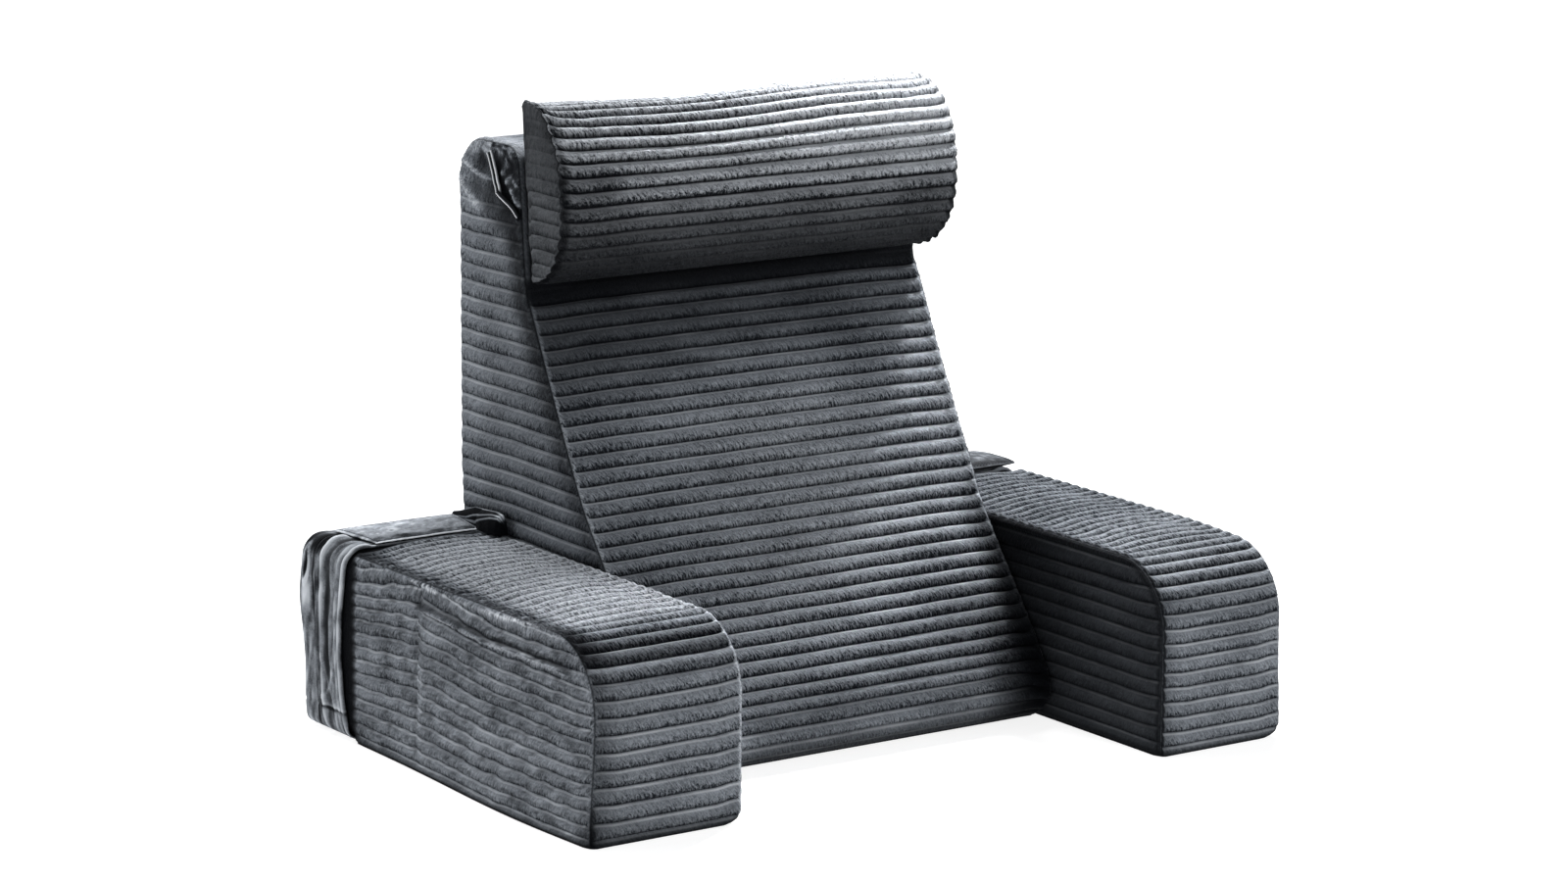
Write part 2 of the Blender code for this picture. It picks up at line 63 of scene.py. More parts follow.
studio = {
    "floorSize": 30.0,
    "floorColor": (0.40, 0.40, 0.40),
    "floorGlow": 0.85,
    "worldColor": (0.96, 0.98, 1.0),
    "worldStrength": 0.30,
    "suns": (
        # name, direction it comes from, strength, softness in degrees
        ("backSun", (0.02, 0.52, 0.92), 3.3, 15.0),
        ("leftBackSun", (-0.75, 0.42, 0.60), 0.45, 24.0),
    ),
    "lights": (
        # name, place, aim, size, watts, spread in degrees
        ("rightRim", (1.15, 0.75, 1.45), (0.24, 0.10, 0.62), 0.5, 42, 180),
        ("rollLight", (0.78, 0.40, 1.55), (0.21, 0.08, 0.64), 0.30, 1.9, 30),
        ("frontSoft", (2.0, -3.6, 1.6), (0.0, 0.0, 0.2), 2.0, 40, 180),
    ),
}


# ---- small helpers for meshes and node trees ----

def aimAt(place, target):
    return (Vector(target) - Vector(place)).to_track_quat("-Z", "Y").to_matrix().to_4x4()


def linked(name, data):
    # a new object in the scene
    item = bpy.data.objects.new(name, data)
    bpy.context.scene.collection.objects.link(item)
    return item


def discard(item):
    mesh = item.data
    bpy.data.objects.remove(item, do_unlink=True)
    bpy.data.meshes.remove(mesh)


def meshObject(name, vertices, faces):
    mesh = bpy.data.meshes.new(name)
    mesh.from_pydata([tuple(v) for v in vertices], [], faces)
    mesh.update()
    return linked(name, mesh)


def turnOutward(item, weld=None):
    # joins the points that are closer than weld, then turns every face outward
    work = bmesh.new()
    work.from_mesh(item.data)
    if weld:
        bmesh.ops.remove_doubles(work, verts=work.verts, dist=weld)
    bmesh.ops.recalc_face_normals(work, faces=work.faces)
    work.to_mesh(item.data)
    work.free()


def tubeFaces(rings, ring):
    # a closed tube of that many rings, with a cap at each end
    faces = [(k * ring + j, k * ring + (j + 1) % ring, (k + 1) * ring + (j + 1) % ring, (k + 1) * ring + j)
             for k in range(rings - 1) for j in range(ring)]
    last = (rings - 1) * ring
    return faces + [tuple(range(ring))[::-1], tuple(last + j for j in range(ring))]


def shadeSmooth(item):
    item.data.polygons.foreach_set("use_smooth", [True] * len(item.data.polygons))


def setPointValues(item, name, values):
    layer = item.data.attributes.new(name, "FLOAT", "POINT")
    layer.data.foreach_set("value", np.asarray(values, dtype=np.float32))


def setPointVectors(item, name, values):
    layer = item.data.attributes.new(name, "FLOAT_VECTOR", "POINT")
    layer.data.foreach_set("vector", np.asarray(values, dtype=np.float32).ravel())


def pointPlaces(mesh):
    places = np.empty(len(mesh.vertices) * 3, dtype=np.float32)
    mesh.vertices.foreach_get("co", places)
    return places.reshape(-1, 3).astype(float)


def ease(value):
    share = np.clip(value, 0.0, 1.0)
    return share * share * (3 - 2 * share)


def bell(value, width):
    return np.exp(-(value / width) ** 2)


def ragged(points, scale, seed=0.0):
    # a value from -1 to 1 for each point, the same on each run
    return np.array([noise.noise(Vector((p[0] * scale, p[1] * scale, p[2] * scale + seed))) for p in points])


def distanceToPath(flat, path):
    # how far points in the plane lie from an open line, and on which side of it
    best, sign = np.full(len(flat), 9.0), np.ones(len(flat))
    for (ay, az), (by, bz) in zip(path, path[1:]):
        span = np.array([by - ay, bz - az])
        rest = flat - np.array([ay, az])
        share = np.clip(rest @ span / (span @ span), 0.0, 1.0)
        away = rest - share[:, None] * span
        far = np.linalg.norm(away, axis=1)
        nearer = far < best
        best = np.where(nearer, far, best)
        sign = np.where(nearer, np.sign(away @ np.array([-span[1], span[0]])), sign)
    return best, sign


class Socket:
    # one output of a node tree, usable in ordinary expressions

    def __init__(self, tree, output):
        self.tree = tree
        self.output = output

    def combine(self, operation, first, second=None):
        node = self.tree.nodes.new("ShaderNodeMath")
        node.operation = operation
        for place, value in enumerate((first, second)):
            if isinstance(value, Socket):
                self.tree.links.new(value.output, node.inputs[place])
            elif value is not None:
                node.inputs[place].default_value = value
        return Socket(self.tree, node.outputs[0])

    def __add__(self, other):
        return self.combine("ADD", self, other)

    def __radd__(self, other):
        return self.combine("ADD", other, self)

    def __sub__(self, other):
        return self.combine("SUBTRACT", self, other)

    def __rsub__(self, other):
        return self.combine("SUBTRACT", other, self)

    def __mul__(self, other):
        return self.combine("MULTIPLY", self, other)

    def __truediv__(self, other):
        return self.combine("DIVIDE", self, other)

    def __neg__(self):
        return self.combine("MULTIPLY", self, -1.0)

    def __pow__(self, power):
        return self.combine("POWER", self, power)

    def __abs__(self):
        return self.combine("ABSOLUTE", self)

    def fraction(self):
        return self.combine("FRACT", self)

    def least(self, other):
        return self.combine("MINIMUM", self, other)

    def most(self, other):
        return self.combine("MAXIMUM", self, other)

    def clamp(self):
        return self.least(1.0).most(0.0)

    def exponent(self):
        return self.combine("EXPONENT", self)


class Tree:
    # makes any node: its settings first, then its sockets' values and links

    def __init__(self, tree):
        self.tree = tree

    def add(self, kind, settings=None, inputs=None, output=0):
        node = self.tree.nodes.new(kind)
        for name, value in (settings or {}).items():
            setattr(node, name, value)
        for name, value in (inputs or {}).items():
            socket = node.inputs[name]
            if isinstance(value, Socket):
                self.tree.links.new(value.output, socket)
            else:
                socket.default_value = value
        return Socket(self.tree, node.outputs[output])

    def mixColor(self, factor, first, second):
        node = self.tree.nodes.new("ShaderNodeMix")
        node.data_type = "RGBA"
        for socket, value in ((node.inputs[0], factor), (node.inputs[6], first), (node.inputs[7], second)):
            if isinstance(value, Socket):
                self.tree.links.new(value.output, socket)
            elif isinstance(value, tuple):
                socket.default_value = (*value, 1.0)
            else:
                socket.default_value = value
        return Socket(self.tree, node.outputs[2])

    def attribute(self, name, kind="FLOAT"):
        return self.add("GeometryNodeInputNamedAttribute", {"data_type": kind}, {"Name": name})

    def scaled(self, vector, factor):
        return self.add("ShaderNodeVectorMath", {"operation": "SCALE"}, {0: vector, "Scale": factor})

    def noiseAt(self, place, scale, detail=1.0):
        # a value from -1 to 1
        grain = self.add("ShaderNodeTexNoise", None, {"Vector": place, "Scale": scale, "Detail": detail})
        return grain * 2.0 - 1.0

    def painted(self, name, output=2):
        # what the mesh carries under this name; output 2 is a number, 1 a vector
        return self.add("ShaderNodeAttribute", {"attribute_name": name}, output=output)

    def drive(self, shader, name, value):
        self.tree.links.new(value.output, shader.inputs[name])

    def leave(self, result):
        end = self.tree.nodes.new("NodeGroupOutput")
        self.tree.links.new(result.output, end.inputs[0])
        return self.tree


def geometryTree(name, wanted):
    # wanted: (name, kind, value) of each input; one geometry comes out
    group = bpy.data.node_groups.new(name, "GeometryNodeTree")
    for label, kind, value in wanted:
        socket = group.interface.new_socket(label, in_out="INPUT", socket_type="NodeSocket" + kind)
        if value is not None:
            socket.default_value = value
    group.interface.new_socket("Geometry", in_out="OUTPUT", socket_type="NodeSocketGeometry")
    given = group.nodes.new("NodeGroupInput")
    return Tree(group), {socket.name: Socket(group, socket) for socket in given.outputs if socket.name}


print("frame loaded:", len(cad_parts), "nodes")


# ---- outlines in the plane (depth, height) ----

def cornerArc(centre, radius, start, end, steps=16):
    angles = np.radians(np.linspace(start, end, steps + 1))
    return [(centre[0] + radius * math.cos(a), centre[1] + radius * math.sin(a)) for a in angles]


def smoothThrough(points, perSpan=20):
    known = np.array(points, dtype=float)
    known = np.vstack([2 * known[0] - known[1], known, 2 * known[-1] - known[-2]])
    curve = []
    for i in range(1, len(known) - 2):
        before, here, after, last = known[i - 1:i + 3]
        for t in np.linspace(0.0, 1.0, perSpan, endpoint=False):
            curve.append(0.5 * (2 * here + (after - before) * t
                                + (2 * before - 5 * here + 4 * after - last) * t ** 2
                                + (3 * here - before - 3 * after + last) * t ** 3))
    curve.append(known[-2])
    return [tuple(p) for p in curve]


class Outline:
    # an open line from the front foot over the top to the back foot

    def __init__(self, points):
        self.points = np.array(points, dtype=float)
        steps = np.linalg.norm(np.diff(self.points, axis=0), axis=1)
        self.stations = np.concatenate([[0.0], np.cumsum(steps)])
        self.length = float(self.stations[-1])

    def at(self, places):
        return np.stack([np.interp(places, self.stations, self.points[:, k]) for k in (0, 1)], axis=-1)

    def along(self, places, reach=0.004):
        ahead = self.at(np.minimum(places + reach, self.length)) - self.at(np.maximum(places - reach, 0.0))
        return ahead / np.linalg.norm(ahead, axis=-1, keepdims=True)


def distanceToLoop(points, loop):
    # how far each point lies from the closed loop
    start = loop
    span = np.roll(loop, -1, axis=0) - start
    lengths = np.maximum((span ** 2).sum(axis=1), 1e-14)
    best = np.empty(len(points))
    for first in range(0, len(points), 2000):
        some = points[first:first + 2000, None, :] - start[None]
        share = np.clip((some * span[None]).sum(axis=2) / lengths[None], 0.0, 1.0)
        best[first:first + 2000] = np.linalg.norm(some - share[..., None] * span[None], axis=2).min(axis=1)
    return best


# ---- the ribbed cushions: a tube of cloth, closed by a panel at each end ----

def ribPlaces(outline, stretches, stepsPerRib):
    # stretches: (up to this place, pitch); the first groove lies at firstGroove
    knots = [0.0]
    numbers = [0.0]
    for limit, pitch in stretches["pitches"]:
        numbers.append(numbers[-1] + (min(limit, outline.length) - knots[-1]) / pitch)
        knots.append(min(limit, outline.length))
    shift = np.interp(stretches["firstGroove"], knots, numbers)
    numbers = np.array(numbers) - shift
    fine = np.arange(math.ceil(numbers[0] * stepsPerRib), numbers[-1] * stepsPerRib) / stepsPerRib
    places = np.interp(fine, numbers, knots)
    places = places[(places > 0.0007) & (places < outline.length - 0.0007)]
    return np.concatenate([[0.0], places, [outline.length]]), np.array(knots), numbers


def edgeSpacing(length, insets, step):
    count = max(1, round((length - 2 * insets[-1]) / step))
    middle = np.linspace(insets[-1], length - insets[-1], count + 1)
    return np.concatenate([insets[:-1], middle, length - np.array(insets[:-1])[::-1]])


def endPanel(loop, insets, rowStep, rowStart, columnStep):
    # flat triangles inside the loop, in rows that follow the ribs
    count = len(loop)
    ahead = np.roll(loop, -1, axis=0) - np.roll(loop, 1, axis=0)
    inward = np.stack([ahead[:, 1], -ahead[:, 0]], axis=1)
    inward = inward / np.maximum(np.linalg.norm(inward, axis=1, keepdims=True), 1e-12)
    low, high = loop.min(axis=0), loop.max(axis=0)
    probe = loop + inward * 0.0005
    if insideLoop(probe, loop).mean() < 0.5:
        inward = -inward
    candidates = []
    for inset in insets[1:]:
        ring = loop + inward * inset
        keep = (distanceToLoop(ring, loop) > inset * 0.93) & insideLoop(ring, loop)
        candidates.append(ring[keep])
    rows = np.arange(rowStart - rowStep * math.floor((rowStart - low[1]) / rowStep), high[1], rowStep)
    columns = np.arange(low[0] + columnStep / 2, high[0], columnStep)
    lattice = np.array([(y, z) for z in rows for y in columns])
    keep = insideLoop(lattice, loop) & (distanceToLoop(lattice, loop) > insets[-1] * 1.15)
    candidates.append(lattice[keep])
    points = [Vector(p) for p in loop] + [Vector(p) for part in candidates for p in part]
    made = geometry.delaunay_2d_cdt(points, [], [list(range(count))], 1, 1e-7)
    return np.array([tuple(p) for p in made[0]]), [tuple(f) for f in made[2]]


def insideLoop(points, loop):
    # which points lie inside the closed loop
    inside = np.zeros(len(points), dtype=bool)
    ahead = np.roll(loop, -1, axis=0)
    for (ay, az), (by, bz) in zip(loop, ahead):
        crosses = (az > points[:, 1]) != (bz > points[:, 1])
        if crosses.any():
            meets = (by - ay) * (points[:, 1] - az) / (bz - az + 1e-18) + ay
            inside ^= crosses & (points[:, 0] < meets)
    return inside


seams = (0.0, 0.0012, 0.0030, 0.0055, 0.0090, 0.0135)     # distances of the rows of points from a seam
coarseSeams = (0.0, 0.006, 0.014)
toTheEnd = 9.0              # further than any outline is long


def cushionShell(name, outline, sides, ribs, coarseness):
    # coarseness is 1 for the finished cloth and larger for the shape that is blown up
    left, right = sides
    stepsPerRib = max(2, round(ribs["stepsPerRib"] / coarseness))
    insets = np.array(ribs["insets"] if coarseness == 1 else coarseSeams)
    columnStep = ribs["columnStep"] * (1 if coarseness == 1 else 1.6)
    places, knots, numbers = ribPlaces(outline, ribs["long"], stepsPerRib)
    upper = outline.at(places)
    baseLength = np.linalg.norm(upper[-1] - upper[0])
    baseCount = max(4, round(baseLength / (columnStep * 1.5)))
    shares = np.linspace(0, 1, baseCount + 1)[1:-1, None]
    base = upper[-1] + (upper[0] - upper[-1]) * shares
    loop = np.vstack([upper, base])
    columns = left + edgeSpacing(right - left, insets, columnStep)
    rowCount, columnCount = len(loop), len(columns)
    tube = np.empty((rowCount, columnCount, 3))
    tube[:, :, 0] = columns[None]
    tube[:, :, 1:] = loop[:, None, :]
    vertices = [tube.reshape(-1, 3)]
    faces = []
    for i in range(rowCount):
        after = (i + 1) % rowCount
        for j in range(columnCount - 1):
            faces.append((i * columnCount + j, after * columnCount + j,
                          after * columnCount + j + 1, i * columnCount + j + 1))
    total = rowCount * columnCount
    side = ribs["side"]
    flat, triangles = endPanel(loop, insets, side["pitch"] / stepsPerRib, side["firstGroove"], columnStep)
    for x in (left, right):
        vertices.append(np.column_stack([np.full(len(flat), x), flat]))
        faces += [tuple(k + total for k in face) for face in triangles]
        total += len(flat)
    item = meshObject(name, np.vstack(vertices), faces)
    turnOutward(item, 2e-5)

    # what each point of the cloth knows about itself
    points = pointPlaces(item.data)
    x, flat = points[:, 0], points[:, 1:]
    onEnd = (np.abs(x - left) < 1e-5) | (np.abs(x - right) < 1e-5)
    # rows nearest to each tube point, by its place in the loop
    order = {tuple(np.round(p, 5)): k for k, p in enumerate(loop)}
    row = np.array([order.get(tuple(np.round(p, 5)), -1) for p in flat])
    lost = (row < 0) & ~onEnd
    for k in np.nonzero(lost)[0]:
        row[k] = int(np.argmin(np.linalg.norm(loop - flat[k], axis=1)))
    isLong = (row >= 0) & (row < len(upper)) & ~onEnd
    isBase = (row >= len(upper)) & ~onEnd
    inset = np.where(onEnd, 0.0, np.minimum(x - left, right - x))
    inset[onEnd] = distanceToLoop(flat[onEnd], loop)
    place = np.where(row >= 0, places[np.clip(row, 0, len(places) - 1)], 0.0)
    ribNumber = np.where(onEnd, (flat[:, 1] - side["firstGroove"]) / side["pitch"],
                         np.interp(place, knots, numbers))
    runout = ribs["runout"]
    rise = ease(inset / runout)
    footFade = ease(np.minimum(place, outline.length - place) / (1.5 * runout))
    rise = np.where(isLong, rise * footFade, rise)
    rise = np.where(isBase, 0.0, rise)
    across = np.zeros((len(points), 3))
    along = outline.along(place)
    across[:, 1] = np.where(onEnd, 0.0, along[:, 0])
    across[:, 2] = np.where(onEnd, 1.0, along[:, 1])
    rise = rise * np.where(onEnd, side.get("share", 1.0), 1.0)
    facts = {"points": points, "onEnd": onEnd, "isLong": isLong, "isBase": isBase, "rise": rise,
             "inset": inset, "ribNumber": ribNumber, "side": np.sign(x - (left + right) / 2)}
    weave = np.zeros((len(points), 3))
    weave[:, 0] = np.where(onEnd, flat[:, 0], x)
    weave[:, 1] = np.where(onEnd, flat[:, 1], np.where(isBase, flat.sum(axis=1) + 3.0, place))
    weave[:, 2] = np.where(onEnd, 1.7, 0.0)
    setPointValues(item, "seamInset", np.where(isBase, 0.03, inset))
    setPointVectors(item, "ribAcross", across)
    setPointVectors(item, "weave", weave)
    return item, facts


print("cushion tools ready")


# ---- the filling pushes the cloth out ----

filling = {
    "pressure": 4.0,
    "frames": 20,
    "quality": 5,
    "clothMass": 0.3,
    "stiffness": 15.0,
    "seamShare": 0.15,        # how much of the swelling the seams take part in
}


def pushOut(item, facts, cap):
    # blows the coarse shape up and stores how far each point moved, at most cap
    points = facts["points"]
    normals = np.array([tuple(v.normal) for v in item.data.vertices])
    cloth = item.modifiers.new("filling", "CLOTH")
    cloth.settings.quality = filling["quality"]
    cloth.settings.mass = filling["clothMass"]
    cloth.settings.tension_stiffness = filling["stiffness"]
    cloth.settings.compression_stiffness = filling["stiffness"]
    cloth.settings.shear_stiffness = filling["stiffness"] / 3
    cloth.settings.use_pressure = True
    cloth.settings.uniform_pressure_force = filling["pressure"]
    cloth.settings.effector_weights.gravity = 0.0
    cloth.collision_settings.use_self_collision = False
    held = item.vertex_groups.new(name="held")
    held.add([int(k) for k in np.nonzero(facts["isBase"])[0]], 1.0, "REPLACE")
    cloth.settings.vertex_group_mass = "held"
    cloth.point_cache.frame_start = 1
    cloth.point_cache.frame_end = filling["frames"]
    scene = bpy.context.scene
    for frameNumber in range(1, filling["frames"] + 1):
        scene.frame_set(frameNumber)
    blown = item.evaluated_get(bpy.context.evaluated_depsgraph_get())
    moved = pointPlaces(blown.data) - points
    item.modifiers.remove(cloth)
    scene.frame_set(1)
    reach = np.linalg.norm(moved, axis=1, keepdims=True)
    soft = cap * (1 - np.exp(-reach / cap)) / np.maximum(reach, 1e-9)
    moved = moved * soft
    moved -= normals * np.minimum((moved * normals).sum(axis=1), 0.0)[:, None]   # foam never shrinks
    moved *= (filling["seamShare"] + (1 - filling["seamShare"]) * ease(facts["inset"] / 0.03))[:, None]
    moved[facts["isBase"]] = 0.0
    moved[:, 2] *= ease(points[:, 2] / 0.02)
    farthest = float(np.linalg.norm(moved, axis=1).max())
    print("   pushed out", item.name, "by up to", round(farthest * 1000, 1), "mm")
    setPointVectors(item, "swell", moved)


def ribTree():
    # the modifier that swells the cloth, rounds and puckers its seams and raises its ribs
    tree, enter = geometryTree("plushRibs", (
        ("Geometry", "Geometry", None), ("Blown Shape", "Object", None),
        ("Rib Height", "Float", 0.003), ("Rib Edge", "Float", 4.0),
        ("Wobble", "Float", 0.001), ("Wobble Scale", "Float", 14.0),
        ("Uneven Ribs", "Float", 0.25), ("Seam Sink", "Float", 0.0015),
        ("Seam Lip", "Float", 0.0008), ("Pucker", "Float", 0.0008),
        ("Seam Round", "Float", 0.006), ("Plush", "Material", None),
    ))
    place = tree.add("GeometryNodeInputPosition")
    inset = tree.attribute("seamInset")

    blownCloth = tree.add("GeometryNodeObjectInfo", None, {"Object": enter["Blown Shape"]}, "Geometry")
    swell = tree.add("GeometryNodeSampleNearestSurface", {"data_type": "FLOAT_VECTOR"},
                     {"Mesh": blownCloth, "Value": tree.attribute("swell", "FLOAT_VECTOR")})
    cloth = tree.add("GeometryNodeSetPosition", None, {"Geometry": enter["Geometry"], "Offset": swell})

    nearSeam = (1.0 - inset / enter["Seam Round"]).clamp()
    rounded = tree.add("GeometryNodeBlurAttribute", {"data_type": "FLOAT_VECTOR"},
                       {"Value": place, "Iterations": 3, "Weight": nearSeam})
    cloth = tree.add("GeometryNodeSetPosition", None, {"Geometry": cloth, "Position": rounded})

    # the rib's line wanders, so the points move along the cloth first
    wander = tree.noiseAt(place, enter["Wobble Scale"], 2.0) * enter["Wobble"]
    rise = tree.attribute("ribRise")
    across = tree.attribute("ribAcross", "FLOAT_VECTOR")
    cloth = tree.add("GeometryNodeSetPosition", None,
                     {"Geometry": cloth, "Offset": tree.scaled(across, wander * rise)})

    phase = tree.attribute("ribNumber").fraction()
    fromCrest = abs(phase * 2.0 - 1.0)
    groove = (fromCrest ** enter["Rib Edge"]) * rise
    uneven = 1.0 + enter["Uneven Ribs"] * tree.noiseAt(place, 22.0, 2.0)
    lift = -(groove * enter["Rib Height"] * uneven)
    bend = inset / 0.0016
    lift = lift - enter["Seam Sink"] * (-(bend * bend)).exponent()
    lip = (inset - 0.0055) / 0.0030
    lift = lift + enter["Seam Lip"] * (-(lip * lip)).exponent()
    lift = lift + enter["Pucker"] * tree.noiseAt(place, 70.0, 2.0) * (-(inset / 0.012)).exponent()
    lift = lift + tree.attribute("dent")
    normal = tree.add("GeometryNodeInputNormal")
    cloth = tree.add("GeometryNodeSetPosition", None,
                     {"Geometry": cloth, "Offset": tree.scaled(normal, lift)})
    cloth = tree.add("GeometryNodeStoreNamedAttribute", {"data_type": "FLOAT", "domain": "POINT"},
                     {"Geometry": cloth, "Name": "groove", "Value": groove})
    cloth = tree.add("GeometryNodeRealizeInstances", None, {"Geometry": cloth})
    cloth = tree.add("GeometryNodeSetMaterial", None, {"Geometry": cloth, "Material": enter["Plush"]})
    return tree.leave(cloth)


def applyTree(item, group, values, name):
    # runs a geometry tree once and leaves a plain mesh
    modifier = item.modifiers.new(name, "NODES")
    modifier.node_group = group
    codes = {socket.name: socket.identifier for socket in group.interface.items_tree
             if socket.item_type == "SOCKET" and socket.in_out == "INPUT"}
    for label, value in values.items():
        modifier[codes[label]] = value
    bpy.context.view_layer.update()
    evaluated = item.evaluated_get(bpy.context.evaluated_depsgraph_get())
    mesh = bpy.data.meshes.new_from_object(evaluated, preserve_all_data_layers=True,
                                           depsgraph=bpy.context.evaluated_depsgraph_get())
    mesh.name = name
    finished = linked(name, mesh)
    discard(item)
    shadeSmooth(finished)
    return finished


plushRibs = ribTree()


def makeCushion(name, outline, sides, ribs, material, marks=None, shape=None):
    # marks gives a cushion's own dents, tones, nap, quiet ribs and bent ribs, each one value a point
    coarse, coarseFacts = cushionShell(name + "Blown", outline, sides, ribs, 4)
    pushOut(coarse, coarseFacts, ribs["cap"])
    fine, facts = cushionShell(name + "Cloth", outline, sides, ribs, 1)
    nothing = np.zeros(len(facts["points"]))
    own = {"dent": nothing, "paintedLightAndTone": nothing, "quiet": nothing, "bend": nothing, "nap": nothing + 1.0,
           **(marks(facts) if marks else {})}
    for label in ("dent", "paintedLightAndTone", "nap"):
        setPointValues(fine, label, own[label])
    setPointValues(fine, "ribRise", facts["rise"] * (1 - own["quiet"]))
    setPointValues(fine, "ribNumber", facts["ribNumber"] + own["bend"])
    finished = applyTree(fine, plushRibs, {
        "Blown Shape": coarse, "Rib Height": ribs["height"], "Rib Edge": ribs["edge"],
        "Wobble": ribs["wobble"], "Wobble Scale": ribs["wobbleScale"], "Uneven Ribs": ribs["uneven"],
        "Seam Sink": ribs["seamSink"], "Seam Lip": ribs["seamLip"], "Pucker": ribs["pucker"],
        "Seam Round": ribs["seamRound"], "Plush": material,
    }, name)
    discard(coarse)
    points = pointPlaces(finished.data)
    if shape:
        points = shape(points, facts)
    points[:, 2] = np.maximum(points[:, 2], 0.0)
    points[:, 0] += sideShift
    finished.data.vertices.foreach_set("co", points.astype(np.float32).ravel())
    finished.data.update()
    print("  ", name, len(finished.data.polygons), "faces")
    return finished


def dress(item, nodes):
    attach(item, "root")
    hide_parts(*nodes)
    return item


# ---- finishes ----

def startMaterial(name, look):
    material = bpy.data.materials.new(name)
    material.use_nodes = True
    tree = Tree(material.node_tree)
    shader = material.node_tree.nodes["Principled BSDF"]
    for label, value in (("Roughness", look["roughness"]), ("Metallic", 0.0), ("Specular IOR Level", 0.03),
                         ("Sheen Weight", look["sheen"]), ("Sheen Roughness", look["sheenRoughness"]),
                         ("Sheen Tint", (*look["sheenTint"], 1.0))):
        shader.inputs[label].default_value = value
    return material, tree, shader


def plushMaterial(name, look):
    material, tree, shader = startMaterial(name, look)
    place = tree.add("ShaderNodeTexCoord", output=3)
    weave = tree.painted("weave", 1)
    groove, inset, paintedLightAndTone = tree.painted("groove"), tree.painted("seamInset"), tree.painted("paintedLightAndTone")
    rise, nap = tree.painted("ribRise"), tree.painted("nap")
    phase = tree.painted("ribNumber").fraction()

    # the pile lies in short slanting strokes
    slanted = tree.add("ShaderNodeMapping", {"vector_type": "TEXTURE"},
                       {"Vector": weave, "Rotation": (0.0, 0.0, look["slant"]), "Scale": look["strokeSize"]})
    stroke = tree.add("ShaderNodeTexNoise", None,
                      {"Vector": slanted, "Scale": 1.0, "Detail": 2.0, "Roughness": 0.7, "Distortion": 0.5})
    speck = tree.add("ShaderNodeTexNoise", None,
                     {"Vector": weave, "Scale": look["speckScale"], "Detail": 2.0, "Roughness": 0.6})
    combed = tree.add("ShaderNodeMapping", None, {"Vector": weave, "Scale": (0.35, 1.0, 1.0)})
    brushed = tree.add("ShaderNodeTexNoise", None,
                       {"Vector": combed, "Scale": 34.0, "Detail": 4.0, "Roughness": 0.6})
    patches = tree.add("ShaderNodeTexNoise", None, {"Vector": place, "Scale": 9.0, "Detail": 2.0})

    # the pile's strokes show most on the lower part of a rib; painted light makes a rib lighter towards its upper
    # edge
    shade = (stroke - 0.5) * look["strokeContrast"] * (1.25 - phase * 0.8)
    shade = shade + (speck - 0.5) * look["speckContrast"]
    shade = shade * nap + (brushed - 0.5) * look["brushedContrast"] + (patches - 0.5) * 0.3
    # tone above zero is painted light: it lightens the pile towards bright and calms the painted rib shade
    paintedBrightening = paintedLightAndTone.most(0.0)
    calm = 1.0 - (paintedBrightening * look["calm"]).least(0.8)
    shade = shade + (phase - 0.5) * look["paintedWaleLight"] * rise * calm + paintedBrightening * 0.25
    color = tree.mixColor((0.5 + shade).clamp(), look["dark"], look["light"])
    fibre = (0.5 + (stroke - 0.5) * 2.8 + (speck - 0.5) * 2.4).clamp()
    color = tree.mixColor((paintedBrightening * 0.50 * (0.10 + fibre * 1.6)).clamp(), color, look["bright"])
    # painted shade in the grooves between the ribs
    paintedGrooveShade = (groove ** look["groovePower"]) * look["grooveShade"] * calm
    color = tree.mixColor(paintedGrooveShade.clamp(), color, look["deep"])
    # painted shade along the lower edge of each rib
    low = (phase - look["lowAt"]) / look["lowWidth"]
    under = (-(low * low)).exponent() * rise * look["lowShade"] * calm
    color = tree.mixColor(under.clamp(), color, look["deep"])
    # a painted highlight along the upper edge of each rib
    crest = (phase - look["lineAt"]) / look["lineWidth"]
    line = (-(crest * crest)).exponent() * rise * ((brushed - 0.28) * 3.0).clamp()
    color = tree.mixColor((line * look["paintedLineHighlight"]).clamp(), color, look["bright"])
    # tone below zero is painted shade: it darkens the pile towards deep
    shadow = 1.0 - (paintedLightAndTone.least(0.0) * look["shadowDepth"]).exponent()
    color = tree.mixColor(shadow.clamp(), color, look["deep"])
    sewn = (1.0 - inset / 0.0020).clamp()
    color = tree.mixColor(sewn * 0.7, color, look["deep"])
    tree.drive(shader, "Base Color", color)
    rough = 0.86 + (speck - 0.5) * 0.2
    tree.drive(shader, "Roughness", rough)
    height = stroke * 0.8 + speck * 0.5 + brushed * 0.3
    bump = tree.add("ShaderNodeBump", None,
                    {"Height": height, "Strength": look["bump"], "Distance": look["bumpDepth"]})
    tree.drive(shader, "Normal", bump)
    return material


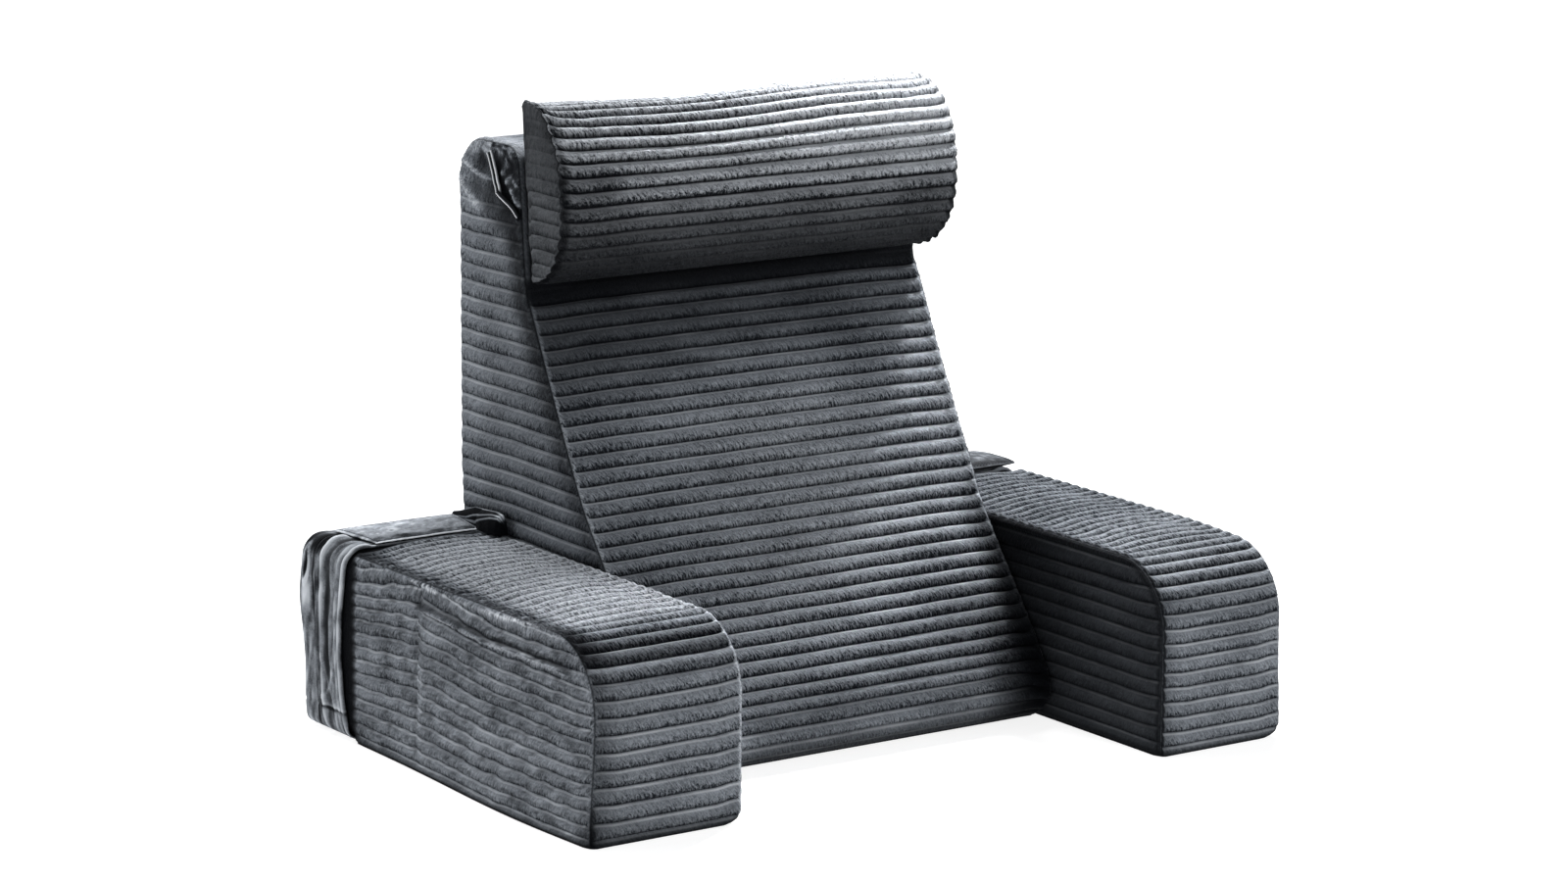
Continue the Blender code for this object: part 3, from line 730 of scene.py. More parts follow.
def velvetMaterial(name, look):
    material, tree, shader = startMaterial(name, look)
    place = tree.add("ShaderNodeTexCoord", output=3)
    paintedLightAndTone = tree.painted("paintedLightAndTone")
    nap = tree.add("ShaderNodeTexNoise", None, {"Vector": place, "Scale": look["napScale"], "Detail": 2.0})
    rubbed = tree.add("ShaderNodeTexNoise", None,
                      {"Vector": place, "Scale": 75.0, "Detail": 5.0, "Roughness": 0.65})
    shade = (nap - 0.5) * look["napContrast"] + (rubbed - 0.5) * look["rubbedContrast"]
    # tone above zero is painted light, lightening towards bright; below zero it is painted shade, darkening
    # towards deep
    color = tree.mixColor((0.42 + shade + paintedLightAndTone.most(0.0) * 0.6).clamp(), look["dark"], look["light"])
    color = tree.mixColor(((paintedLightAndTone - 0.55) * 1.2).clamp(), color, look["bright"])
    shadow = 1.0 - (paintedLightAndTone.least(0.0) * look["shadowDepth"]).exponent()
    color = tree.mixColor(shadow.clamp(), color, look["deep"])
    tree.drive(shader, "Base Color", color)
    rough = 0.74 + (rubbed - 0.5) * 0.3
    tree.drive(shader, "Roughness", rough)
    height = nap * 0.6 + rubbed * 1.0
    bump = tree.add("ShaderNodeBump", None,
                    {"Height": height, "Strength": look["bump"], "Distance": look["bumpDepth"]})
    tree.drive(shader, "Normal", bump)
    return material


plushLook = {
    "dark": (0.012, 0.0145, 0.019),
    "light": (0.304, 0.330, 0.366),
    # bright is the colour of painted light and highlights, deep that of painted shade
    "bright": (0.66, 0.69, 0.73),
    "calm": 0.5,              # how far painted light hides the painted groove and rib shade
    "deep": (0.0022, 0.0026, 0.0036),
    "slant": math.radians(-60),
    "strokeSize": (0.0065, 0.0019, 1.0),
    "strokeContrast": 2.3,
    "speckScale": 520.0,
    "speckContrast": 1.0,
    "brushedContrast": 0.7,
    "paintedWaleLight": 0.85,
    "lowAt": 0.03,
    "lowWidth": 0.16,
    "lowShade": 0.54,
    "lineAt": 0.885,
    "lineWidth": 0.055,
    "paintedLineHighlight": 0.85,
    "groovePower": 4.0,
    "grooveShade": 0.80,
    "shadowDepth": 3.5,
    "roughness": 0.92,
    "sheen": 0.018,
    "sheenRoughness": 0.35,
    "sheenTint": (0.85, 0.91, 1.0),
    "bump": 0.9,
    "bumpDepth": 0.0022,
}
rollLook = {
    **plushLook,
    "dark": (0.008, 0.010, 0.013),
    "light": (0.430, 0.455, 0.490),
    "bright": (0.58, 0.605, 0.64),
    "strokeSize": (0.0075, 0.0030, 1.0),
    "strokeContrast": 2.6,
    "speckContrast": 1.4,
    "brushedContrast": 1.1,
    "paintedWaleLight": 1.15,
    "lowWidth": 0.20,
    "lowShade": 0.97,
    "lineWidth": 0.070,
    "paintedLineHighlight": 0.80,
    "groovePower": 1.8,
    "grooveShade": 0.97,
    "bump": 1.0,
    "bumpDepth": 0.0034,
}
velvetLook = {
    "dark": (0.010, 0.012, 0.016),
    "light": (0.300, 0.322, 0.352),
    "bright": (0.60, 0.63, 0.67),
    "deep": (0.0022, 0.0026, 0.0036),
    "shadowDepth": 2.8,
    "napScale": 700.0,
    "napContrast": 0.6,
    "rubbedContrast": 1.5,
    "roughness": 0.80,
    "sheen": 0.06,
    "sheenRoughness": 0.30,
    "sheenTint": (0.85, 0.91, 1.0),
    "bump": 0.6,
    "bumpDepth": 0.0016,
}
webLook = {
    **velvetLook,
    "bright": (0.95, 0.97, 1.0),
    "napScale": 1400.0,
    "rubbedContrast": 0.4,
    "sheen": 0.05,
}
threadLook = {
    **velvetLook,
    "light": (0.16, 0.175, 0.20),
    "napScale": 2500.0,
    "rubbedContrast": 0.3,
    "sheen": 0.05,
}
plush = plushMaterial("plushCloth", plushLook)
shaggyPlush = plushMaterial("rollPlushCloth", rollLook)
velvet = velvetMaterial("velvetCloth", velvetLook)
webCloth = velvetMaterial("webbingCloth", webLook)
threadFinish = velvetMaterial("sewingThread", threadLook)
print("finishes made")


# ---- the backrest wedge ----

wedge = {
    "halfWidth": 0.2425,
    "back": 0.2655,
    "top": 0.6125,
    "topBackRadius": 0.048,
    "topFrontRadius": 0.022,
    "sideReach": 0.2445,      # between the arms the sides are held to this
    "armZone": 0.206,
    "fullness": (0.0020, 0.0045),   # how far the left and right sides stand out above the arms
    "front": (                # (height, depth) of the seam down the front
        (0.000, -0.093),
        (0.016, -0.116),
        (0.046, -0.122),
        (0.110, -0.081),
        (0.230, 0.010),
        (0.335, 0.070),
        (0.440, 0.123),
        (0.472, 0.1365),
        (0.585, 0.1470),
    ),
    "grooveHeight": 0.2366,   # one of the grooves on the face lies here
}
wedgeRibs = {
    "side": {"pitch": 0.0174, "firstGroove": 0.2354, "share": 0.75},
    "stepsPerRib": 8,
    "columnStep": 0.0080,
    "insets": seams,
    "runout": 0.007,
    "height": 0.0048,
    "edge": 2.2,
    "wobble": 0.0011,
    "wobbleScale": 13.0,
    "uneven": 0.35,
    "seamSink": 0.0016,
    "seamLip": 0.0010,
    "pucker": 0.0010,
    "seamRound": 0.006,
    "cap": 0.0060,
}
clearance = 0.0003


def restDepth(height):
    (lowHeight, lowDepth), (highHeight, highDepth) = wedge["front"][-2:]
    return lowDepth + (highDepth - lowDepth) * (height - lowHeight) / (highHeight - lowHeight)


restLean = math.atan(restDepth(1.0) - restDepth(0.0))


def wedgeOutline():
    front = smoothThrough([(depth, height) for height, depth in wedge["front"]])
    radius = wedge["topFrontRadius"]
    centreHeight = wedge["top"] - radius
    touch = centreHeight + radius * math.sin(restLean)
    centre = (restDepth(touch) + radius * math.cos(restLean), centreHeight)
    frontCorner = cornerArc(centre, radius, 180 - math.degrees(restLean), 90)
    backRadius = wedge["topBackRadius"]
    backCorner = cornerArc((wedge["back"] - backRadius, wedge["top"] - backRadius), backRadius, 90, 0, 24)
    return Outline(front + frontCorner + backCorner + [(wedge["back"], 0.0)])


wedgeMarkings = {
    "ribsEndAt": 0.536,       # the sides have no ribs above this height
    "creases": (              # (path in depth and height, rise, width)
        (((0.2560, 0.590), (0.2538, 0.5867), (0.2230, 0.5789), (0.2001, 0.5773)), 0.0028, 0.0026),
        (((0.2600, 0.570), (0.2564, 0.5618), (0.2413, 0.5526), (0.2259, 0.5414)), 0.0022, 0.0040),
        (((0.1800, 0.5930), (0.1794, 0.5891), (0.1709, 0.5801), (0.1537, 0.5605), (0.1450, 0.5506)),
         0.0034, 0.0036),
        (((0.1700, 0.6000), (0.1650, 0.5860), (0.1500, 0.5720)), 0.0016, 0.0026),
    ),
    "hollows": (              # (depth, height, radius, sink, painted shade)
        (0.2177, 0.5913, 0.012, 0.0024, 0.60),
        (0.2300, 0.5640, 0.013, 0.0020, 0.36),
        (0.2040, 0.5520, 0.014, 0.0018, 0.46),
        (0.1830, 0.5340, 0.014, 0.0014, 0.34),
        (0.1650, 0.5180, 0.013, 0.0010, 0.30),
        (0.1640, 0.5900, 0.012, 0.0012, 0.50),
        (0.1900, 0.5700, 0.012, 0.0012, 0.70),
        (0.1720, 0.5480, 0.013, 0.0010, 0.60),
    ),
    "slit": ((0.1860, 0.5900), (0.1780, 0.5740), (0.1640, 0.5560), (0.1480, 0.5440)),
    "slitWidth": 0.0050,
    "slitDepth": 0.0030,
    "slitShadow": 2.2,
}


def wedgeMarks(facts):
    points, inset = facts["points"], facts["inset"]
    flat = points[:, 1:]
    ends, tube = facts["onEnd"], facts["isLong"]
    grain = ragged(points, 160.0)
    dent, paintedLightAndTone = np.zeros(len(points)), np.zeros(len(points))
    # the creases stand up, with a painted highlight along each ridge
    for path, rise, width in wedgeMarkings["creases"]:
        away, _ = distanceToPath(flat, path)
        dent += np.where(ends, rise * bell(away, width), 0.0)
        paintedLightAndTone += np.where(ends, 1.30 * bell(away, width * 0.6) * (0.8 + 0.5 * grain), 0.0)
    # the hollows sink, with painted shade in them
    for depth, height, radius, sink, paintedShade in wedgeMarkings["hollows"]:
        away = np.hypot(flat[:, 0] - depth, flat[:, 1] - height)
        dent -= np.where(ends, sink * bell(away, radius), 0.0)
        paintedLightAndTone -= np.where(ends, paintedShade * bell(away, radius), 0.0)
    # the slit sinks in, with painted shadow in it
    away, _ = distanceToPath(flat, wedgeMarkings["slit"])
    slit = np.where(ends, bell(away, wedgeMarkings["slitWidth"]), 0.0)
    dent -= wedgeMarkings["slitDepth"] * slit
    paintedLightAndTone -= wedgeMarkings["slitShadow"] * slit
    # a painted highlight runs down both front seams, with a strip of painted shade behind it
    front = flat[:, 0] < 0.2
    across, height = points[:, 0], flat[:, 1]
    face = np.where(tube & front, 1.0, 0.0)
    aboveFoot = ease((height - 0.470) / 0.010)
    paintedEdgeLight = bell(inset - 0.0022, 0.0013)
    paintedSeamShade = 0.26 + 0.40 * ease((height - 0.22) / 0.22)
    paintedLightAndTone -= np.where(ends & front, paintedSeamShade * bell(inset - 0.008, 0.018) * (0.85 + 0.5 * grain), 0.0)
    # the ends are lighter at their rear edge, and painted shade darkens them towards the front
    paintedLightAndTone += np.where(ends, 0.04 - 0.13 * ease((0.250 - flat[:, 0]) / 0.05), 0.0)
    streaks = ragged(points * np.array([1.0, 1.0, 3.0]), 120.0, 7.0)
    paintedLightAndTone += np.where(ends, (0.36 + 0.9 * streaks) * ease((height - 0.594) / 0.010), 0.0)
    # painted light and shade: the face is lighter in its middle, and shaded under the roll, in the corner beside
    # the right arm and along the floor
    shade = ease((height - 0.310) / 0.130)
    # painted light across the face, most in its middle
    spread = -0.04 + 0.25 * ease((across + 0.24) / 0.30) - 0.15 * ease((across - 0.04) / 0.14)
    paintedLightAndTone += face * spread * ease((height - 0.06) / 0.16) * (1 - 0.5 * shade)
    rim = 1 - 0.6 * aboveFoot * (inset < 0.006)
    shade = shade * (1 - 0.45 * ease((across - 0.08) / 0.10))
    covered = rim * ease((0.606 - height) / 0.012)
    # painted shade under the roll
    paintedLightAndTone -= face * (0.41 * shade + 0.85 * ease((height - 0.446) / 0.016)) * covered
    # painted shade low on the face, more towards the right
    paintedLightAndTone -= face * 0.10 * ease((0.22 - height) / 0.10) * ease((across + 0.04) / 0.12)
    # painted shade at the face's lower left, painted light along its right rim
    lowerLeft = ease((0.115 - height) / 0.06) * ease((across + 0.16) / 0.05) * ease((0.06 - across) / 0.10)
    rightRim = ease((across - 0.215) / 0.018) * ease((height - 0.26) / 0.06) * ease((0.445 - height) / 0.02)
    paintedLightAndTone += face * (0.07 * rightRim - 0.14 * lowerLeft)
    # painted shade in the corner beside the right arm
    paintedLightAndTone -= face * 0.95 * ease((across - 0.15) / 0.09) * ease((0.16 - height) / 0.13)
    paintedLightAndTone -= face * 0.50 * ease((across - 0.20) / 0.04) * ease((0.27 - height) / 0.10)
    # painted shade along the floor
    paintedLightAndTone -= face * (0.60 * bell(height, 0.007) + 0.30 * ease((0.030 - height) / 0.020))
    # the painted highlight along the front seams
    paintedLightAndTone += face * paintedEdgeLight * 0.38 * (1 - 0.5 * aboveFoot)
    nap = np.where(tube & front, 1 - 0.45 * shade, np.where(ends, 0.9, 1.0))
    # the top is smooth and finely wrinkled
    top = tube & (flat[:, 1] > wedge["top"] - 0.05) & (flat[:, 0] > 0.15)
    wrinkles = ragged(points * np.array([1.0, 2.2, 1.0]), 70.0, 5.0)
    dent += np.where(top, 0.0007 * wrinkles, 0.0)
    # painted light and shade follow the wrinkles, and the top is lighter at its left end
    paintedLightAndTone += np.where(top, -0.04 + 0.30 * wrinkles + 0.40 * ease((-0.205 - across) / 0.025), 0.0)
    quiet = np.where(ends, ease((flat[:, 1] - wedgeMarkings["ribsEndAt"]) / 0.02), 0.0)
    smooth = np.maximum(ease((height - wedge["top"] + 0.045) / 0.02) * (flat[:, 0] > 0.15),
                        front * ease((height - 0.462) / 0.008))
    quiet = np.where(tube, smooth, quiet)
    return {"dent": dent * ease(inset / 0.006), "paintedLightAndTone": paintedLightAndTone, "quiet": quiet, "nap": nap}


def wedgeShape(points, facts):
    # flat under the neck roll, and held between the arms
    onFace = facts["isLong"] & (points[:, 1] < restDepth(points[:, 2]) + 0.02)
    behindRoll = onFace & (points[:, 2] > roll["bottom"] - 0.004)
    points[behindRoll, 1] = np.maximum(points[behindRoll, 1], restDepth(points[behindRoll, 2]))
    above = ease((points[:, 2] - wedge["armZone"]) / 0.06) * points[:, 0] / wedge["halfWidth"]
    points[:, 0] += above * np.where(points[:, 0] < 0, *wedge["fullness"])
    low = points[:, 2] < wedge["armZone"]
    points[low, 0] = np.clip(points[low, 0], -wedge["sideReach"], wedge["sideReach"])
    return points


# ---- the neck roll ----

roll = {
    "left": -0.2385,
    "right": 0.2535,
    "height": 0.184,
    "depth": 0.080,
    "bottom": 0.472,
    "roundness": 2.25,
    "endDepths": (0.80, 0.97),   # the seams draw the left and right ends in to these shares
    "endReach": 0.016,
    "scallop": 0.0030,        # the grooves draw the end seams in by this much
    "tuft": 0.0050,           # the pile stands up at the top of the left end
    "sag": 0.0065,            # how far the top sinks between the ends
}
rollRibs = {
    "long": {"pitches": ((toTheEnd, 0.0156),), "firstGroove": 0.0},
    "side": {"pitch": 0.0146, "firstGroove": 0.5094, "share": 0.45},
    "stepsPerRib": 8,
    "columnStep": 0.0075,
    "insets": seams,
    "runout": 0.005,
    "height": 0.0060,
    "edge": 1.9,
    "wobble": 0.0012,
    "wobbleScale": 16.0,
    "uneven": 0.35,
    "seamSink": 0.0018,
    "seamLip": 0.0010,
    "pucker": 0.0012,
    "seamRound": 0.007,
    "cap": 0.0050,
}


def rollOutline():
    up = np.array([math.sin(restLean), math.cos(restLean)])
    forward = np.array([-math.cos(restLean), math.sin(restLean)])
    foot = np.array([restDepth(roll["bottom"]), roll["bottom"]]) + forward * clearance
    half = roll["height"] / 2
    points = []
    for angle in np.linspace(-math.pi / 2, math.pi / 2, 121):
        power = 2 / roll["roundness"]
        out = abs(math.cos(angle)) ** power
        rise = math.copysign(abs(math.sin(angle)) ** power, angle)
        points.append(tuple(foot + up * half * (1 + rise) + forward * roll["depth"] * out))
    return Outline(points)


def rollMarks(facts):
    # the caps are smoother and darker, and the pile stands out ragged along the seams
    points, inset = facts["points"], facts["inset"]
    grain = ragged(points, 210.0)
    height, along = points[:, 2], points[:, 0]
    paintedLightAndTone = np.where(facts["onEnd"], -0.32 + 0.08 * grain - 0.14 * ease((height - 0.56) / 0.05), 0.0)
    paintedLightAndTone -= np.where(facts["isLong"], 0.60 * bell(inset - 0.0035, 0.0035) * (0.8 + grain), 0.0)
    # painted light and shade: the roll is lit on top, most at its right end, and shaded to nearly black
    # underneath
    light = (0.42 + 0.85 * ease((along + 0.10) / 0.30)) * ease((height - 0.548) / 0.080)
    dark = np.clip((0.570 - height) / 0.090, 0.0, 1.1) * (0.88 + 0.16 * ease((-0.05 - along) / 0.15))
    dark += 0.42 * bell(height - 0.586, 0.030) * ease((-0.145 - along) / 0.05)
    paintedLightAndTone += np.where(facts["isLong"], light - dark, 0.0)
    dent = np.where(facts["isLong"], 0.0020 * grain * bell(inset - 0.005, 0.006), 0.0)
    quiet = np.where(facts["onEnd"], 0.75 * ease((height - 0.560) / 0.03), 0.0)
    nap = np.where(facts["onEnd"], 0.35, 1.0)
    return {"dent": dent, "paintedLightAndTone": paintedLightAndTone, "quiet": quiet, "nap": nap}


def rollShape(points, facts):
    for edge, share, way in zip((roll["left"], roll["right"]), roll["endDepths"], (1, -1)):
        drawn = 1 - (1 - share) * ease(1 - way * (points[:, 0] - edge) / roll["endReach"])
        back = restDepth(points[:, 2])
        points[:, 1] = back - (back - points[:, 1]) * drawn
    # the seams run in scallops, out at each rib and in at each groove
    line = rollOutline()
    fine = np.linspace(0.0, line.length, 600)
    samples = line.at(fine)
    near = np.nonzero(facts["inset"] < 0.02)[0]
    flat = facts["points"][near, 1:]
    nearest = ((flat[:, None, :] - samples[None]) ** 2).sum(axis=2).argmin(axis=1)
    phase = np.mod((fine[nearest] - rollRibs["long"]["firstGroove"]) / rollRibs["long"]["pitches"][0][1], 1.0)
    drawnIn = roll["scallop"] * np.abs(2 * phase - 1) ** 1.9 * bell(facts["inset"][near], 0.007)
    points[near, 0] -= np.sign(points[near, 0]) * drawnIn
    atLeft = bell(points[:, 0] - roll["left"], 0.010)
    points[:, 2] += roll["tuft"] * atLeft * ease((points[:, 2] - 0.635) / 0.015)
    points[:, 2] -= roll["sag"] * bell(points[:, 0] + 0.06, 0.13) * ease((points[:, 2] - 0.56) / 0.08)
    limit = restDepth(points[:, 2]) - clearance / math.cos(restLean)
    points[:, 1] = np.minimum(points[:, 1], limit)
    return points


# ---- the arms ----

arm = {
    "length": 0.554,
    "widths": {"left": 0.165, "right": 0.158},
    "height": 0.200,
    "noseRadius": 0.072,
    "tailRadius": 0.014,
    "innerCrown": 0.0020,
    "stagger": 0.021,
    "footRadius": {"left": 0.025, "right": 0.030},
    "noseGrow": 0.0068,       # the left arm's front widens towards the middle, clear of the wedge
    "noseFrom": -0.136,
    "footReach": 0.004,
    "topLift": 0.0045,        # the top stands higher at its right-hand edge
    "footBulge": 0.0105,      # the outer side swells at its foot
}
arm["inner"] = 0.240 + 0.0045 + clearance + arm["innerCrown"]
armRibs = {
    "stepsPerRib": 8,
    "columnStep": 0.0075,
    "insets": seams,
    "runout": 0.007,
    "height": 0.0046,
    "edge": 2.2,
    "wobble": 0.0007,
    "wobbleScale": 16.0,
    "uneven": 0.35,
    "seamSink": 0.0018,
    "seamLip": 0.0010,
    "pucker": 0.0010,
    "seamRound": 0.006,
    "cap": 0.0040,
}
armPitches = {
    "left": {"long": {"pitches": ((0.200, 0.0172), (toTheEnd, 0.0160)), "firstGroove": 0.0246},
             "side": {"pitch": 0.0138, "firstGroove": 0.0100, "share": 0.70}},
    "right": {"long": {"pitches": ((0.200, 0.0156), (toTheEnd, 0.0160)), "firstGroove": 0.0095},
              "side": {"pitch": 0.0160, "firstGroove": 0.0154}},
}
band = {
    "width": 0.088,
    "insets": {"left": 0.001, "right": 0.013},
    "thick": 0.0022,
    "corner": 0.018,
    "footCorner": 0.010,
    "step": 0.014,
    "edge": 0.0005,
}
armMarkings = {
    "crease": 0.0670,         # depth of the upright crease on the left arm's outer side
    "creaseSink": 0.0030,
    "creaseWidth": 0.0035,
    "rise": 0.085,            # how far a rib is lifted at the crease, as a share of its height
    "drop": 0.070,            # and how far it then falls towards the nose
    "ridge": ((0.0950, 0.1975), (0.0834, 0.1969), (0.0215, 0.1944), (-0.0493, 0.1930),
              (-0.1329, 0.1986), (-0.1755, 0.2017)),
    "fold": ((0.0640, 0.1707), (0.0218, 0.1693), (-0.0582, 0.1647), (-0.1327, 0.1659), (-0.2018, 0.1648)),
    "gapShade": 2.2,
    "gapReach": 0.018,
}


def armOutline(front):
    back = front + arm["length"]
    nose, tail, height = arm["noseRadius"], arm["tailRadius"], arm["height"]
    return Outline([(front, 0.0)] + cornerArc((front + nose, height - nose), nose, 180, 90, 24)
                   + cornerArc((back - tail, height - tail), tail, 90, 0, 8) + [(back, 0.0)])


def armSeat(side, width, armBack, inset):
    inner = side * (arm["inner"] - arm["innerCrown"] + band["thick"] + clearance)
    outer = side * (arm["inner"] + width)
    front = armBack - inset - band["width"]
    return {"front": front, "outer": outer,
            "low": np.array([min(inner, outer), band["thick"] + clearance]),
            "high": np.array([max(inner, outer), arm["height"]])}


def leftArmMarks(facts):
    points, inset = facts["points"], facts["inset"]
    depth, height = points[:, 1], points[:, 2]
    flat = points[:, 1:]
    outer = facts["onEnd"] & (facts["side"] < 0)
    tube = facts["isLong"]
    grain, coarse = ragged(points, 190.0), ragged(points, 45.0, 3.0)
    away = depth - armMarkings["crease"]
    inside = ease(inset / 0.012)
    dent = -armMarkings["creaseSink"] * bell(away + 0.0015 * coarse, armMarkings["creaseWidth"]) * inside
    dent += 0.4 * armMarkings["creaseSink"] * bell(away + 0.010, 0.007) * inside
    # painted shade in the crease, with a painted highlight beside it
    paintedLightAndTone = -0.75 * bell(away + 0.0015 * coarse, 0.0020) * (0.8 + coarse) * inside
    paintedLightAndTone += 0.35 * bell(away + 0.0050, 0.0022) * (0.5 + coarse) * inside
    # two ragged ridges of pile, the upper one just under the seam, with a painted highlight along them
    far, _ = distanceToPath(flat, armMarkings["ridge"])
    spans = 0.35 + bell(depth - 0.045, 0.020) + bell(depth + 0.105, 0.040)
    dent += 0.0014 * bell(far, 0.0030)
    tufts = ease((grain + ragged(points, 420.0, 2.0) + 0.35) / 0.5)
    paintedLightAndTone += 1.7 * spans * bell(far + 0.0016 * grain, 0.0017) * tufts
    far, side = distanceToPath(flat, armMarkings["fold"])
    dent += np.where(side > 0, -0.0016, 0.0016) * bell(far, 0.0060) * inside
    # painted light on the fold's crest and painted shade below it
    paintedLightAndTone += 0.65 * bell(far, 0.0030) * ease((grain + 0.5) / 0.7)
    paintedLightAndTone -= 0.35 * bell(far - 0.006, 0.004) * (side < 0)
    # worn patches, and dark flecks
    flecks = ragged(points, 420.0, 11.0)
    paintedLightAndTone += 0.12 * coarse - 0.20 * ease((-grain - 0.28) / 0.2) + 0.16 * flecks - 0.05
    # painted shade at the foot of the outer side's front end
    paintedLightAndTone -= 0.30 * ease(1 - (height - 0.004) / 0.05) * ease(1 - (depth + 0.256) / 0.03)
    dent, paintedLightAndTone = np.where(outer, dent, 0.0), np.where(outer, paintedLightAndTone, 0.0)
    # the top is darker along its outer seam, and a painted highlight runs along the inner seam
    onTop = tube & (height > arm["height"] - arm["noseRadius"] * 0.8)
    atOuter = tube & (facts["side"] < 0)
    darkAlongOuterSeam = 0.85 * bell(inset - 0.004, 0.017) * (0.9 + 0.6 * grain) * ease((height - 0.165) / 0.025)
    paintedLightAndTone -= np.where(atOuter & onTop, darkAlongOuterSeam, 0.0)
    # painted shade on the top towards the band
    paintedLightAndTone -= np.where(tube & (height > 0.18), 0.30 * ease((depth - 0.13) / 0.06), 0.0)
    paintedLightAndTone += np.where(tube & (facts["side"] > 0), 0.90 * bell(inset - 0.0022, 0.0014), 0.0)
    # painted shade under the nose's shoulder, painted light on the top, and painted shade on the front
    shoulder = tube & (depth < -arm["length"] / 2 + arm["stagger"] + arm["noseRadius"])
    paintedLightAndTone -= np.where(shoulder, 0.26 * bell(height - 0.181, 0.012) + 0.10 * ease((height - 0.175) / 0.02), 0.0)
    paintedLightAndTone += np.where(tube, 0.50 * ease((height - 0.186) / 0.012) * ease((depth + 0.232) / 0.075), 0.0)
    paintedFrontShade = 0.09 - 0.05 * ease((points[:, 0] + 0.41) / 0.12) + 0.10 * ease((0.030 - height) / 0.020)
    paintedLightAndTone -= np.where(tube & (depth < 0), paintedFrontShade * ease((0.175 - height) / 0.015), 0.0)
    # painted shade along the front's outer seam, darkest at its foot
    nose = atOuter & (height < 0.17) & (depth < 0)
    drawn = 0.18 * bell(inset - 0.006, 0.013) + 1.2 * bell(inset, 0.005) * ease(1 - height / 0.06)
    paintedLightAndTone -= np.where(nose, drawn, 0.0)
    nap = np.where(outer, 0.8, 1.0)
    lifted = armMarkings["rise"] * height * ease(1 - away / 0.14)
    fallen = armMarkings["drop"] * height * ease(-away / 0.16) + 0.045 * height * (away < 0)
    pitch = armPitches["left"]["side"]["pitch"]
    bend = np.where(outer, (fallen - lifted + 0.0022 * coarse) / pitch, 0.0)
    return {"dent": dent, "paintedLightAndTone": paintedLightAndTone, "bend": bend, "nap": nap}


def rightArmMarks(facts):
    points, inset = facts["points"], facts["inset"]
    grain = ragged(points, 190.0)
    inner = facts["side"] < 0
    depth, height = points[:, 1], points[:, 2]
    # painted shade: the inner side darkens towards the wedge
    paintedLightAndTone = np.where(facts["onEnd"] & inner, -0.57 - 0.48 * ease((depth + 0.20) / 0.22), 0.0)
    seam = 0.12 * bell(inset - 0.008, 0.008) + 0.9 * bell(inset - 0.003, 0.0016)
    paintedLightAndTone -= np.where(facts["isLong"] & inner, seam, 0.0)
    paintedLightAndTone -= np.where(facts["onEnd"] & inner, 0.6 * bell(inset - 0.004, 0.0014), 0.0)
    # painted light on the top, most towards the nose; painted shade on the front
    lit = -0.07 + 0.19 * ease((-0.02 - depth) / 0.16) + 0.10 * grain
    paintedLightAndTone += np.where(facts["isLong"], lit * ease((height - 0.180) / 0.012), 0.0)
    paintedLightAndTone -= np.where(facts["isLong"] & (depth < 0), 0.03 * ease((0.165 - height) / 0.015), 0.0)
    return {"paintedLightAndTone": paintedLightAndTone, "nap": np.where(facts["onEnd"] & inner, 0.5, 1.0)}


def withGap(marks, seat):
    # painted shade: the arm is dark along the floor, and where it dips under the front edge of its band
    def both(facts):
        own = marks(facts)
        depth, height = facts["points"][:, 1], facts["points"][:, 2]
        gap = ease(1 - (seat["front"] - depth) / armMarkings["gapReach"]) * (height > 0.001)
        gap = gap * ease((seat["front"] + 0.05 - depth) / 0.02)
        own["paintedLightAndTone"] = own["paintedLightAndTone"] - 0.8 * bell(height, 0.0045) - armMarkings["gapShade"] * gap
        return own
    return both


def armShaper(side, seat):
    def shape(points, facts):
        x, depth, height = points.T
        inner = arm["inner"] - arm["innerCrown"]
        reach = np.maximum(side * x, inner)
        x = side * reach
        # the rounded bottom edge on the right-hand side
        if side > 0:
            right = arm["inner"] + arm["widths"]["right"] + arm["footReach"]
        else:
            right = -arm["inner"] + arm["innerCrown"]
        radius = arm["footRadius"]["right" if side > 0 else "left"]
        centre = np.array([right - radius, radius])
        away = np.stack([x - centre[0], height - centre[1]], axis=1)
        size = np.linalg.norm(away, axis=1)
        corner = (away[:, 0] > 0) & (away[:, 1] < 0) & (size > radius)
        away[corner] *= (radius / size[corner])[:, None]
        x = np.where(corner, centre[0] + away[:, 0], x)
        height = np.where(corner, centre[1] + away[:, 1], height)
        # the filling stands the top up and swells the outer side's foot
        share = (x - x.min()) / (x.max() - x.min())
        fromNose = ease((depth - facts["points"][:, 1].min() - 0.03) / 0.12)
        height = height + arm["topLift"] * ease(share) * ease((height - 0.12) / 0.08) * fromNose
        swell = arm["footBulge"] * bell(depth + 0.12, 0.17) * ease(1 - height / 0.12)
        x = x + side * swell * ease((side * x - arm["inner"] - 0.08) / 0.06)
        if side < 0:
            x = x + arm["noseGrow"] * ease((share - 0.3) / 0.7) * ease((arm["noseFrom"] - depth) / 0.06)
        # the band draws the arm in
        under = ease((depth - (seat["front"] - band["step"])) / band["step"])
        middle = (seat["low"] + seat["high"]) / 2
        core = (seat["high"] - seat["low"]) / 2 - band["corner"]
        offset = np.stack([x, height], axis=1) - middle
        held = np.clip(offset, -core, core)
        rest = offset - held
        far = np.linalg.norm(rest, axis=1, keepdims=True)
        rest = rest * np.minimum(1.0, (band["corner"] - 0.0006) / np.maximum(far, 1e-9))
        pressed = middle + held + rest
        x = x + (pressed[:, 0] - x) * under
        height = height + (pressed[:, 1] - height) * under
        return np.stack([x, depth, height], axis=1)
    return shape


# ---- the velvet bands round the arms ----

